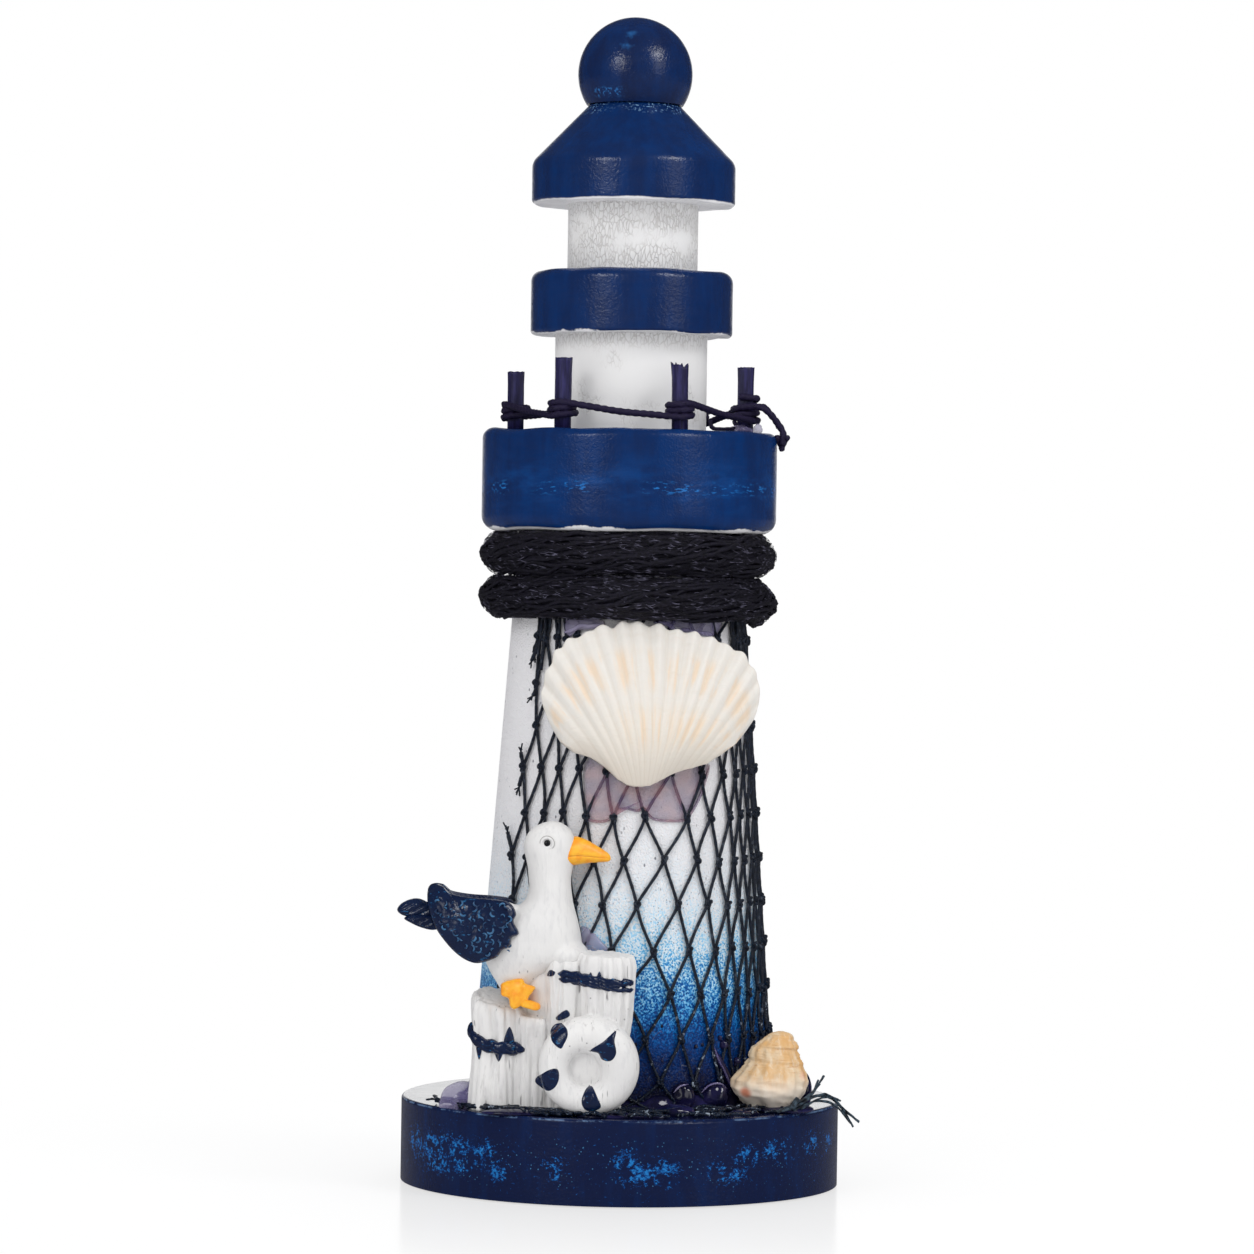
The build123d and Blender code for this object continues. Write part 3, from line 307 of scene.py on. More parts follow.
base_finish = navy_paint("base_navy", 0.0, 0.2)
rub_spots = [(-43.0, -19.0, 10.5, 6.0), (-38.5, -27.0, 9.5, 9.0), (-33.5, -33.0, 9.0, 7.0),
             (-28.5, -37.4, 10.0, 5.0), (-24.7, -40.0, 6.0, 4.5), (-13.5, -45.0, 7.5, 4.0),
             (1.5, -47.0, 8.2, 5.5), (4.6, -46.8, 7.0, 4.0), (9.5, -46.0, 7.0, 4.5),
             (21.0, -42.0, 7.0, 4.5), (24.4, -40.2, 7.0, 4.0), (27.0, -38.5, 9.8, 4.0),
             (32.0, -34.4, 11.0, 4.0), (35.0, -31.4, 10.2, 4.5), (40.5, -23.8, 11.5, 4.5),
             (44.5, -15.0, 12.0, 5.0), (43.5, 17.5, 8.0, 7.0), (38.5, 27.0, 10.0, 6.0),
             (33.0, 33.5, 7.0, 5.0), (12.0, 45.4, 8.0, 5.0), (4.0, 46.8, 10.0, 6.0),
             (-8.0, 46.3, 7.5, 7.0), (-14.0, 44.9, 9.0, 5.0), (-30.0, 36.2, 9.0, 6.0),
             (-36.0, 30.2, 7.5, 7.0), (-41.5, 22.0, 10.5, 5.0), (-46.5, 7.0, 9.0, 5.0),
             (46.8, 3.5, 8.5, 5.0)]
rubbed = 0.0
for *rub_spot, rub_reach in rub_spots:
    rubbed = base_finish.calc("MAXIMUM", base_finish.near(rub_spot, rub_reach), rubbed)
rub_belt = base_finish.band(base_finish.height, (1.0, 5.5), (16.0, 11.0))
rub_patch = base_finish.patchy(0.38, 0.60, 0.42, 3.0, 0.6, twist=0.3)
rub_total = base_finish.calc("ADD", base_finish.noise(1.7, 4.0, 0.7, (0.8, 0.8, 1.1), 0.4),
                             base_finish.times(rubbed, rub_belt, rub_patch, 0.21))
rub_total = base_finish.calc("ADD", rub_total, base_finish.times(rub_belt, 0.02))
base_finish.cover(base_finish.share(rub_total, 0.64, 0.70, 0.0, 0.9), shade(10, 66, 132))
base_finish.cover(base_finish.share(rub_total, 0.72, 0.78), shade(30, 114, 184))
speck = base_finish.times(base_finish.share(base_finish.cells(0.95), 0.17, 0.09), rub_belt,
                          base_finish.patchy(0.42, 0.56, 0.16, 3.0, 0.6), 0.7)
base_finish.cover(speck, shade(70, 130, 176))
# A pale line along the base's rounded top edge: rubbed wear, and also a painted highlight where that edge
# catches the light.
rim_wear_and_highlight = base_finish.times(base_finish.by_height(17.35, 17.7),
                             base_finish.share(base_finish.facing_up, 0.9, 0.5),
                             base_finish.patchy(0.45, 0.6, 0.3, 4.0, 0.7), 0.7)
base_finish.cover(rim_wear_and_highlight, shade(120, 150, 190))
bore_reach = base_finish.calc("ADD", base_finish.times(base_finish.across, base_finish.across),
                              base_finish.times(base_finish.deep, base_finish.deep))
bored = base_finish.times(base_finish.share(bore_reach, 2000.0, 1900.0),
                          base_finish.by_height(17.8, 17.2))
bare_wood = base_finish.calc("MAXIMUM", base_finish.share(base_finish.facing_up, -0.6, -0.9), bored)
bare_grain = base_finish.noise(0.12, 5.0, 0.6, (1.0, 7.0, 1.0))
base_finish.cover(bare_wood, base_finish.blend(bare_grain, shade(176, 140, 100), shade(138, 102, 68)))
base_finish.put(Coat_Weight=base_finish.share(base_finish.facing_up, 0.8, 0.95), Coat_Roughness=0.06)
coat("base_disc", base_finish)


# Tower: a solid turned cone, painted white and faded by sponge through pale and cobalt blue to
# almost black at its foot. It is screwed up through the base.
tower_finish = Finish("tower_ombre", Specular_IOR_Level=0.28)
sponge = tower_finish.patchy(0.34, 0.66, 2.2, 1.5, 0.6)
fade = tower_finish.height
for stray, reach in ((sponge, tower_finish.by_height(24.0, 46.0, 3.6, 14.5)),
                     (tower_finish.noise(0.16, 3.0, 0.6), 12.0)):
    strayed = tower_finish.times(tower_finish.calc("SUBTRACT", stray, 0.5), reach)
    fade = tower_finish.calc("ADD", fade, strayed)
tower_finish.tone = tower_finish.ramp(tower_finish.share(fade, 15.0, 85.0),
                                      [(0.00, shade(9, 9, 32)), (0.03, shade(10, 15, 48)),
                                       (0.08, shade(3, 32, 84)), (0.20, shade(0, 66, 136)),
                                       (0.30, shade(22, 114, 190)), (0.40, shade(92, 172, 220)),
                                       (0.51, shade(166, 211, 237)), (0.62, shade(210, 226, 238)),
                                       (0.78, shade(224, 229, 235)), (1.00, shade(230, 229, 232))])
fleck = tower_finish.times(tower_finish.share(tower_finish.cells(1.7, (1.0, 1.0, 0.7)), 0.27, 0.17),
                           tower_finish.patchy(0.40, 0.56, 0.5, 3.0), tower_finish.by_height(82.0, 56.0),
                           0.62)
tower_finish.cover(fleck, shade(24, 58, 104))
dust = tower_finish.times(tower_finish.share(tower_finish.cells(0.5, (1.0, 1.0, 0.6)), 0.13, 0.07),
                          tower_finish.patchy(0.38, 0.54, 0.09), 0.75)
tower_finish.cover(dust, shade(52, 58, 74))
fibre = tower_finish.cells(0.33, (1.0, 1.0, 0.45), "DISTANCE_TO_EDGE")
fibre = tower_finish.times(tower_finish.share(fibre, 0.018, 0.0), tower_finish.patchy(0.5, 0.62, 0.3),
                           0.3)
tower_finish.cover(fibre, shade(150, 156, 168))
tower_finish.put(Roughness=tower_finish.by_height(26.0, 60.0, 0.16, 0.42))
tower_finish.relief(sponge, 0.12)
tower_finish.relief(tower_finish.noise(0.35, 3.0, 0.6), 0.2)
coat("tower", tower_finish)


# Gallery: a thick turned deck with a well-rounded foot, painted navy over white and rubbed along its
# middle. It is threaded on the metal stem above the tower, and its rims are a little uneven.
def make(name, points, faces, finish, slot, stands_for=(), body="lighthouse", smooth=True):
    """One piece of the ornament from points in millimetres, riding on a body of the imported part."""
    mesh = bpy.data.meshes.new(name)
    mesh.from_pydata((np.asarray(points, float) * millimetre).tolist(), [], faces)
    outward = bmesh.new()
    outward.from_mesh(mesh)
    bmesh.ops.recalc_face_normals(outward, faces=outward.faces)
    outward.to_mesh(mesh)
    outward.free()
    mesh.polygons.foreach_set("use_smooth", [smooth] * len(mesh.polygons))
    mesh.materials.append(finish.material)
    piece = bpy.data.objects.new(name, mesh)
    studio.collection.objects.link(piece)
    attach(piece, body)
    if stands_for:
        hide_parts(*stands_for)
    return piece


def round_corners(corners):
    """A turning profile from (radius, height, rounding) corners, each rounded off by an arc."""
    profile = []
    for index, (radius, height, rounding) in enumerate(corners):
        here = Vector((radius, height))
        if rounding == 0:
            profile.append(here)
            continue
        before = (Vector(corners[index - 1][:2]) - here).normalized()
        after = (Vector(corners[index + 1][:2]) - here).normalized()
        half_angle = before.angle(after) / 2
        start = here + before * rounding / math.tan(half_angle)
        end = here + after * rounding / math.tan(half_angle)
        centre = here + (before + after).normalized() * rounding / math.sin(half_angle)
        for step in range(9):
            way = start.lerp(end, step / 8) - centre
            profile.append(centre + way.normalized() * rounding)
    return profile


def subdivide_profile(profile, longest):
    """The same profile with no run longer than this."""
    finer = [profile[0]]
    for start, end in zip(profile, profile[1:]):
        runs = max(1, math.ceil((end - start).length / longest))
        finer += [start.lerp(end, (step + 1) / runs) for step in range(runs)]
    return finer


def turn(corners, wander, sides=220, longest=1.2):
    """Points and faces of a turned solid; wander gives how far a spot strays (outward, upward)."""
    profile = subdivide_profile(round_corners(corners), longest)
    points = [(0.0, 0.0, profile[0].y)]
    for spot in profile[1:-1]:
        for side in range(sides):
            angle = math.tau * side / sides
            out, up = wander(angle, spot.x, spot.y)
            points.append(((spot.x + out) * math.sin(angle), -(spot.x + out) * math.cos(angle),
                           spot.y + up))
    points.append((0.0, 0.0, profile[-1].y))
    rings = len(profile) - 2
    faces = [(0, 1 + (side + 1) % sides, 1 + side) for side in range(sides)]
    for ring in range(rings - 1):
        low = 1 + ring * sides
        for side in range(sides):
            following = (side + 1) % sides
            faces.append((low + side, low + following, low + sides + following, low + sides + side))
    last, low = len(points) - 1, 1 + (rings - 1) * sides
    faces += [(low + side, low + (side + 1) % sides, last) for side in range(sides)]
    return points, faces


def wave(angle, count, seed):
    """A smooth hand-made waver round the axis, about -1 to 1."""
    return 2 * noise.noise((count * math.cos(angle), count * math.sin(angle), seed))


def uneven(rim_radius, foot, top, depth, seed):
    """How a hand-painted turning strays: most along its two rims, not at all on its seats."""
    def wander(angle, radius, height):
        at_rim = max(0.0, min(1.0, (radius - rim_radius + 5.0) / 3.0))
        at_top = max(0.0, 1 - abs(height - top) / 5.0)
        at_foot = max(0.0, 1 - abs(height - foot) / 5.0)
        lean, chips = 0.35 * wave(angle, 1.1, seed), 0.3 * (at_top + at_foot) * wave(angle, 3.0, seed + 9)
        out = at_rim * depth * (lean + chips)
        up = at_rim * depth * (at_top * wave(angle, 2.2, seed + 3) + at_foot * wave(angle, 2.6, seed + 6))
        return out, up
    return wander


def worn_rims(finish, foot, top, foot_wear, top_wear, torn=3.2):
    """White undercoat showing raggedly on the underside and along the rims."""
    waver = finish.calc("SUBTRACT", finish.noise(0.16, 4.0, 0.6), 0.5)
    ragged = finish.calc("ADD", finish.height, finish.times(waver, torn))
    low = finish.share(ragged, foot + foot_wear + 0.15, foot + foot_wear - 0.15)
    high = finish.share(ragged, top - top_wear - 0.15, top - top_wear + 0.15)
    below = finish.share(finish.facing_up, -0.80, -0.93)
    bare = finish.calc("MAXIMUM", finish.calc("MAXIMUM", low, high), below)
    finish.cover(bare, finish.blend(finish.noise(0.5, 4.0, 0.6), undercoat, shade(226, 226, 230)))


gallery_foot, gallery_top, gallery_radius = 139.5, 161.0, 31.7
gallery_finish = navy_paint("gallery_navy", 0.72, 0.3)
streak = gallery_finish.times(gallery_finish.band(gallery_finish.height, (141.5, 148.5), (157.5, 149.5)),
                              gallery_finish.patchy(0.42, 0.75, 0.11, 4.0, 0.6, (0.7, 0.7, 2.0)), 0.6)
gallery_finish.cover(streak, shade(10, 70, 138))
scratch = gallery_finish.times(gallery_finish.band(gallery_finish.height, (146.6, 148.2), (150.6, 148.9)),
                               gallery_finish.patchy(0.42, 0.55, 0.09),
                               gallery_finish.patchy(0.54, 0.64, 1.1, 3.0, 0.6, (0.5, 0.5, 1.6)), 0.8)
gallery_finish.cover(scratch, shade(30, 112, 190))
worn_rims(gallery_finish, gallery_foot, gallery_top, 0.55, -0.45)
gallery_turning = turn([(0, gallery_foot, 0), (gallery_radius, gallery_foot, 3.2),
                        (gallery_radius, gallery_top, 1.8), (0, gallery_top, 0)],
                       uneven(gallery_radius, gallery_foot, gallery_top, 0.32, 4.0))
make("gallery_deck", *gallery_turning, gallery_finish, "navy_wood", ["gallery_disc"])


# Lower drum and lantern: the drum is a turned wooden spacer and the lantern an opal tube that lets
# the lamp's light out. Both are brushed with white crackle paint that has shrunk into fine cracks.
def two_tone(name, cloud, edges, first, second, **sockets):
    """A finish of one colour clouded with another; the cloud's edges, if given, sharpen it."""
    finish = Finish(name, **sockets)
    finish.cloud = finish.noise(*cloud)
    finish.cover(finish.share(finish.cloud, *edges) if edges else finish.cloud, shade(*second),
                 under=shade(*first))
    return finish


def crackle_paint(name, fine, top, spread):
    """White paint shrunk into fine upright cracks, most of them close under the rim above."""
    finish = two_tone(name, (0.07, 3.0, 0.5), None, (239, 238, 237), (231, 231, 232),
                      Specular_IOR_Level=0.35, Roughness=0.5)
    inputs = {0: finish.stretched((1.0, 1.0, 0.42)), 1: finish.noise(0.45, 2.0, 0.5)}
    bent = finish.add("ShaderNodeVectorMath", inputs, operation="ADD").outputs[0]
    crack = finish.share(finish.cells(fine, place=bent, feature="DISTANCE_TO_EDGE"), 0.0, 0.13)
    patch = finish.patchy(spread, spread + 0.2, 0.13, 3.0, 0.6)
    crazed = finish.times(finish.calc("SUBTRACT", 1.0, crack),
                          finish.calc("MAXIMUM", patch, finish.by_height(top - 4.5, top - 0.5)))
    finish.cover(finish.times(crazed, 0.46), shade(170, 165, 161))
    finish.relief(finish.calc("SUBTRACT", 1.0, crazed), 0.1)
    finish.relief(finish.noise(0.35, 3.0, 0.5), 0.06)
    return finish


coat("lower_drum", crackle_paint("drum_crackle", 1.2, 181.7, 0.52))
lantern_finish = crackle_paint("lantern_crackle", 1.35, 209.7, 0.32)
lantern_finish.put(Subsurface_Weight=0.06, Subsurface_Radius=(0.002, 0.002, 0.002))
coat("lantern_tube", lantern_finish)


# Middle ring: a turned wooden collar with a soft top edge, navy over white undercoat. It is pressed
# on the stem between the drum and the lantern, and its foot was left white where the brush missed.
ring_foot, ring_top, ring_radius = 181.7, 195.3, 21.7
ring_finish = navy_paint("ring_navy", 0.6)
worn_rims(ring_finish, ring_foot, ring_top, 0.10, -1.2)
ring_turning = turn([(0, ring_foot, 0), (ring_radius, ring_foot, 0.8), (ring_radius, ring_top, 2.2),
                     (0, ring_top, 0)], uneven(ring_radius, ring_foot, ring_top, 0.16, 21.0))
make("middle_collar", *ring_turning, ring_finish, "navy_wood", ["middle_ring"])


# Roof: a turned cap with an upright skirt, a soft shoulder and a cone up to the ball's seat. Navy
# over white, with the white left showing under the eave, and speckled where the brush ran dry.
eave, skirt_top, roof_top, roof_radius, roof_neck = 209.7, 218.7, 231.2, 21.85, 9.7
roof_finish = navy_paint("roof_navy", 0.62)
dry_brush = roof_finish.times(roof_finish.by_height(228.3, 229.6),
                              roof_finish.patchy(0.56, 0.64, 1.7, 3.0, 0.6),
                              roof_finish.patchy(0.38, 0.6, 0.11), 0.8)
roof_finish.cover(dry_brush, shade(128, 170, 210))
worn_rims(roof_finish, eave, roof_top, 0.35, -5.0, 0.9)
roof_turning = turn([(0, eave, 0), (roof_radius, eave, 0.8), (roof_radius, skirt_top, 3.0),
                     (roof_neck, roof_top, 0.5), (0, roof_top, 0)],
                    uneven(roof_radius, eave, roof_top + 20, 0.2, 33.0))
make("roof_cap", *roof_turning, roof_finish, "navy_wood", ["roof"])


# Finial: a turned ball with a flat seat, in the same navy gloss and scuffed near its seat and crown.
# A plain beech dowel joins it to the roof.
ball_finish = navy_paint("ball_navy", 0.42)
seat_scuff = ball_finish.times(ball_finish.near((-6.0, -9.6, 233.2), 5.0),
                               ball_finish.patchy(0.50, 0.60, 1.6, 3.0, 0.6),
                               ball_finish.band(ball_finish.height, (231.8, 232.8), (234.6, 233.6)))
crown_scuff = ball_finish.times(ball_finish.near((-2.0, -10.0, 244.6), 4.0),
                                ball_finish.share(ball_finish.noise(0.4, 3.0), 0.5, 0.8, 0.0, 0.6))
ball_scuff = ball_finish.calc("MAXIMUM", seat_scuff, crown_scuff)
ball_finish.cover(ball_finish.times(ball_scuff, 0.75), shade(40, 112, 184))
coat("finial_ball", ball_finish)
coat("finial_dowel", two_tone("dowel_wood", (0.5, 5.0, 0.6, (3.0, 3.0, 0.2)), None, (206, 170, 120),
                              (160, 120, 76), Roughness=0.7))


# Rail posts: six short lengths of dowel stained dark violet-blue, their tops cut and splintered by
# hand. Each is glued in a blind hole in the gallery deck.
post_finish = two_tone("post_stain", (1.4, 4.0, 0.65, (1.0, 1.0, 0.09)), (0.35, 0.75), (24, 20, 58),
                       (48, 45, 98), Roughness=0.42, Specular_IOR_Level=0.4)
post_finish.relief(post_finish.cloud, 0.22)
post_circle, post_radius, post_sunk = 24.8, 1.75, 0.6
post_azimuths = [85.0, 145.0, 205.0, 265.0, 325.0, 25.0]
post_heights = [14.2, 13.6, 13.9, 12.7, 15.0, 13.7]


def around(azimuth, radius, height):
    """A point at an azimuth from the front, counted to the right, and a distance from the axis."""
    turn_angle = math.radians(azimuth)
    return Vector((radius * math.sin(turn_angle), -radius * math.cos(turn_angle), height))


def stack_rings(rings, closed=True):
    """Faces and points of a closed skin over rings of equally many points, capped at both ends."""
    count = len(rings[0])
    points = [point for ring in rings for point in ring]
    faces = []
    for ring in range(len(rings) - 1):
        low = ring * count
        for side in range(count):
            following = (side + 1) % count
            faces.append((low + side, low + following, low + count + following, low + count + side))
    if closed:
        faces.append(tuple(reversed(range(count))))
        faces.append(tuple(range(len(points) - count, len(points))))
    return points, faces


post_sides = 28
for index, (azimuth, height) in enumerate(zip(post_azimuths, post_heights)):
    foot = around(azimuth, post_circle, gallery_top - post_sunk)
    lean = Vector((wave(index, 1.0, 2.0), wave(index, 1.0, 5.0), 0)) * 0.25
    split = 1.5 if post_azimuths[index] == 25.0 else 0.2
    rings = []
    levels = [0.0, 0.3, 0.6, 0.8, 0.9, 0.96, 1.0]
    for level in levels:
        ring = []
        for side in range(post_sides):
            angle = math.tau * side / post_sides
            rough = noise.noise((3 * math.cos(angle), 3 * math.sin(angle), index * 7.0))
            groove = 0.09 * noise.noise((6 * math.cos(angle), 6 * math.sin(angle), index + level))
            flare = 1 + 0.05 * max(0, level - 0.8) / 0.2 * (1 + 3 * max(0.0, rough) * split)
            out = (post_radius + groove) * flare
            tip = split * rough * max(0, level - 0.8) / 0.2
            rise = (height + post_sunk) * level + tip
            off_foot = Vector((out * math.cos(angle), out * math.sin(angle), rise))
            ring.append(foot + lean * level + off_foot)
        rings.append(ring)
    for shrink, drop in ((0.8, 0.05), (0.45, 0.25), (0.12, 0.3)):
        top = rings[len(levels) - 1]
        middle = foot + lean + Vector((0, 0, height + post_sunk))
        rings.append([middle + (spot - middle) * shrink - Vector((0, 0, drop * (1 + split)))
                      for spot in top])
    make(f"rail_pin_{index + 1}", *stack_rings(rings), post_finish, "post_wood",
         [f"rail_post_{index + 1}"])


# Rail twine: one length of two-ply navy cotton, waxed stiff, wound round each pin in turn and run on
# to the next. Its last end is knotted on the first pin and hangs over the deck's rim.
twine_finish = two_tone("twine_cotton", (2.2, 4.0, 0.7), None, (13, 8, 30), (40, 30, 72),
                        Roughness=0.6, Specular_IOR_Level=0.3)
twine_finish.relief(twine_finish.cloud, 0.2)


def lay_tube(path, radius, sides=10, plies=0, lay=0.0, groove=0.22, taper=0.0):
    """The skin of a tube along a path; plies lie side by side and turn by lay radians a millimetre."""
    path = np.asarray([tuple(spot) for spot in path], float)
    steps = np.linalg.norm(np.diff(path, axis=0), axis=1)
    run = np.concatenate(([0.0], np.cumsum(steps)))
    heading = np.gradient(path, axis=0)
    heading /= np.linalg.norm(heading, axis=1)[:, None]
    aside = np.cross(heading[0], (0.0, 0.0, 1.0))
    if np.linalg.norm(aside) < 0.2:
        aside = np.cross(heading[0], (0.0, 1.0, 0.0))
    rings = []
    angles = np.linspace(0, math.tau, sides, endpoint=False)
    for spot, way, reach in zip(path, heading, run):
        aside = aside - way * np.dot(aside, way)
        aside /= np.linalg.norm(aside)
        beside = np.cross(way, aside)
        width = np.full(sides, radius)
        if plies:
            width = radius * (1 - groove + groove * np.abs(np.cos(plies / 2 * (angles - lay * reach))))
        if taper:
            width = width * min(1.0, 0.25 + min(reach, run[-1] - reach) / taper)
        out = np.cos(angles)[:, None] * aside + np.sin(angles)[:, None] * beside
        rings.append(spot + width[:, None] * out)
    return stack_rings(rings)


def join_skins(skins):
    """One set of points and faces from several."""
    points, faces = [], []
    for more_points, more_faces in skins:
        start = len(points)
        points += [tuple(spot) for spot in more_points]
        faces += [tuple(corner + start for corner in face) for face in more_faces]
    return points, faces


def bend_through(before, start, end, after, t):
    """A spot on the smooth line from start to end that also heeds the stops before and after."""
    return 0.5 * (2 * start + (end - before) * t + (2 * before - 5 * start + 4 * end - after) * t * t
                  + (3 * start - before - 3 * end + after) * t ** 3)


def smooth_path(stops, spacing):
    """Points at an even spacing on a smooth line through the stops."""
    stops = [Vector(stop) for stop in stops]
    ends = [stops[0] * 2 - stops[1]] + stops + [stops[-1] * 2 - stops[-2]]
    path = [stops[0]]
    for before, start, end, after in zip(ends, ends[1:], ends[2:], ends[3:]):
        runs = max(2, math.ceil((end - start).length / spacing))
        path += [bend_through(before, start, end, after, (step + 1) / runs) for step in range(runs)]
    return path


def off_post(index, bearing, reach, height):
    """A point beside a pin at a bearing from +X, a reach from its middle and a height over the deck."""
    side = math.radians(bearing)
    return (around(post_azimuths[index], post_circle, gallery_top + height)
            + Vector((math.cos(side), math.sin(side), 0)) * reach)


wind_radius, twine_lay = 2.5, 1.9
twine_low, twine_high, twine_first = 2.7, 5.6, 7.4
order = [0, 1, 2, 3, 4, 5, 0]


def span_bearing(start, end):
    run = around(post_azimuths[end], 1, 0) - around(post_azimuths[start], 1, 0)
    return math.degrees(math.atan2(run.y, run.x)) - 90.0


first_bearing = span_bearing(0, 1)
twine_stops = [off_post(0, first_bearing - 150, wind_radius, twine_first + 0.5),
               off_post(0, first_bearing - 70, wind_radius, twine_first + 0.2),
               off_post(0, first_bearing, wind_radius, twine_first)]
for place in range(1, len(order)):
    here, came_from = order[place], order[place - 1]
    start_bearing = span_bearing(came_from, here)
    if place < len(order) - 1:
        sweep = 360.0 * 2 + (span_bearing(here, order[place + 1]) - start_bearing) % 360.0
    else:
        sweep = 360.0 + (post_azimuths[0] - 180.0 - start_bearing) % 360.0
    previous = twine_stops[-1]
    arrival = off_post(here, start_bearing, wind_radius, twine_low)
    sag = (previous + arrival) / 2 - Vector((0, 0, 0.35 + 0.3 * noise.noise((place * 3.1, 0.4, 0.9))))
    twine_stops += [previous.lerp(sag, 0.5), sag, sag.lerp(arrival, 0.5)]
    steps = math.ceil(sweep / 40.0)
    for step in range(steps + 1):
        rise = twine_low + (twine_high - twine_low) * (step / steps) ** 0.9
        reach = wind_radius + 0.5 * noise.noise((place * 5.0, step * 0.7, 0.3))
        twine_stops.append(off_post(here, start_bearing + sweep * step / steps, reach, rise))
tail_from = twine_stops[-1]
tail_side = post_azimuths[0] - 3
tail_out = around(post_azimuths[0], 1, 0)
twine_stops += [tail_from + tail_out * 2.6 + Vector((0, -0.4, 0.2)),
                tail_from + tail_out * 5.0 - Vector((0, 0.7, 0.9)),
                around(post_azimuths[0] - 2, gallery_radius + 0.9, gallery_top + 1.2),
                around(tail_side, gallery_radius + 1.5, gallery_top - 0.6),
                around(tail_side, gallery_radius + 1.3, gallery_top - 2.4)]
hitch = around(tail_side, gallery_radius + 1.2, gallery_top - 1.6)
knot_path = [hitch + Vector((0.95 * math.sin(t) + 0.4 * math.sin(2 * t), 1.0 * math.cos(3 * t) * 0.6,
                             1.2 * math.cos(t) - 0.5 * math.cos(2 * t))) for t in np.linspace(0, 6.6, 42)]
second_end = smooth_path([off_post(0, 190, 2.4, 2.6), off_post(0, 230, 3.0, 1.2),
                          off_post(0, 235, 5.6, 0.8), off_post(0, 215, 8.4, 0.9),
                          off_post(0, 212, 9.0, 2.6)], 0.5)
loop_end = smooth_path([off_post(0, 20, 2.2, 5.8), off_post(0, -10, 4.2, 6.0), off_post(0, -15, 6.2, 3.6),
                        off_post(0, -14, 7.2, 1.2)], 0.5)
twine_skins = [lay_tube(smooth_path(twine_stops, 0.55), 0.78, 12, 2, twine_lay),
               lay_tube(knot_path, 0.62, 10, 2, twine_lay), lay_tube(second_end, 0.5, 9, 2, twine_lay),
               lay_tube(loop_end, 0.42, 9, 2, twine_lay)]
make("rail_line", *join_skins(twine_skins), twine_finish, "navy_twine", ["rail_twine"])


# Rope: two turns of soft cotton rope, dyed near black, laid from many thin yarns round a slack core.
# It is wound under the gallery, glued at the back, and its yarns have roughed up and frayed.
rope_finish = two_tone("rope_cotton", (1.6, 5.0, 0.75), (0.3, 0.75), (7, 6, 14), (30, 27, 46),
                       Roughness=0.6, Specular_IOR_Level=0.3)
# Pale flecks over the yarns: painted glints.
rope_finish.cover(rope_finish.times(rope_finish.patchy(0.60, 0.74, 2.6, 3.0, 0.6), 0.3),
                  shade(78, 76, 98))
rope_finish.relief(rope_finish.cloud, 0.25)
rope_centre, rope_low, rope_high = 28.3, 125.45, 134.75
rope_half_width, rope_half_height, rope_pinch = 3.6, 4.55, 0.09
rope_start, climb_start, climb_end, rope_end = -100.0, 135.0, 225.0, 460.0
rope_sag, sag_middle, sag_spread = 1.2, 98.0, 18.0


def rope_height(azimuth):
    climb = max(0.0, min(1.0, (azimuth - climb_start) / (climb_end - climb_start)))
    sag = rope_sag * math.exp(-((azimuth - sag_middle) / sag_spread) ** 2)
    return rope_low + (rope_high - rope_low) * climb * climb * (3 - 2 * climb) - sag


def round_rope(azimuth, angle, reach, wide=1.0, high=1.0):
    """A point on the rope's own round, at an angle from its outer side and a share of its half sizes."""
    out = rope_centre + wide * rope_half_width * reach * math.cos(angle)
    return around(azimuth, out, rope_height(azimuth) + high * rope_half_height * reach * math.sin(angle))


rope_steps, core_steps, core_sides, hair_count = 380, 180, 20, 2700
rope_random = random.Random(5)
yarns = []
for yarn_count, layer_size in ((34, 0.9), (18, 0.68)):
    for number in range(yarn_count):
        start_turn = math.tau * (number + 0.3 * rope_random.random()) / yarn_count
        yarns.append((start_turn, layer_size, rope_random.random() * 90, rope_random.uniform(-2.0, 2.0)))
rope_skins = []
for turn_start, size, seed, extra in yarns:
    path = []
    for step in range(rope_steps + 1):
        azimuth = rope_start - extra + (rope_end - rope_start + 2 * extra) * step / rope_steps
        run = math.radians(azimuth) * rope_centre
        swell = 1 + 0.15 * noise.noise((run / 6, 0.5, 7.7))
        angle = turn_start + run * 0.045 + 0.6 * noise.noise((run / 7, seed, 0.0))
        swell -= rope_pinch * math.sin(2 * angle) ** 2
        reach = size * swell * (1 + 0.11 * noise.noise((run / 4.5, seed, 4.0))
                                + 0.1 * math.cos(3 * turn_start))
        path.append(round_rope(azimuth, angle, reach))
    rope_skins.append(lay_tube(path, 0.48, 8, 2, 1.8, 0.3, taper=4.0))
core = []
for step in range(core_steps + 1):
    azimuth = rope_start + 2 + (rope_end - rope_start - 4) * step / core_steps
    angles = [math.tau * side / core_sides for side in range(core_sides)]
    core.append([round_rope(azimuth, angle, 1 - 2 * rope_pinch * math.sin(2 * angle) ** 2, 0.78, 0.95)
                 for angle in angles])
rope_skins.append(stack_rings(core))
hair_skins = []
for hair in range(hair_count):
    azimuth = rope_random.uniform(rope_start, rope_end)
    angle = rope_random.uniform(-2.2, 2.2)
    length = rope_random.uniform(1.0, 4.4)
    lift = rope_random.uniform(0.05, 0.4)
    bend = rope_random.uniform(-0.16, 0.16)
    hair_path = []
    for step in range(6):
        t = step / 5
        reach = 0.98 + lift * 0.14 * math.sin(math.pi * min(1.0, t * 0.8))
        spread = angle + bend * math.sin(4 * t + 9 * bend)
        reach -= rope_pinch * math.sin(2 * spread) ** 2
        spot = azimuth + math.degrees(length * (t - 0.5) / rope_centre)
        hair_path.append(round_rope(spot, spread, reach))
    hair_skins.append(lay_tube(hair_path, rope_random.uniform(0.035, 0.066), 4))
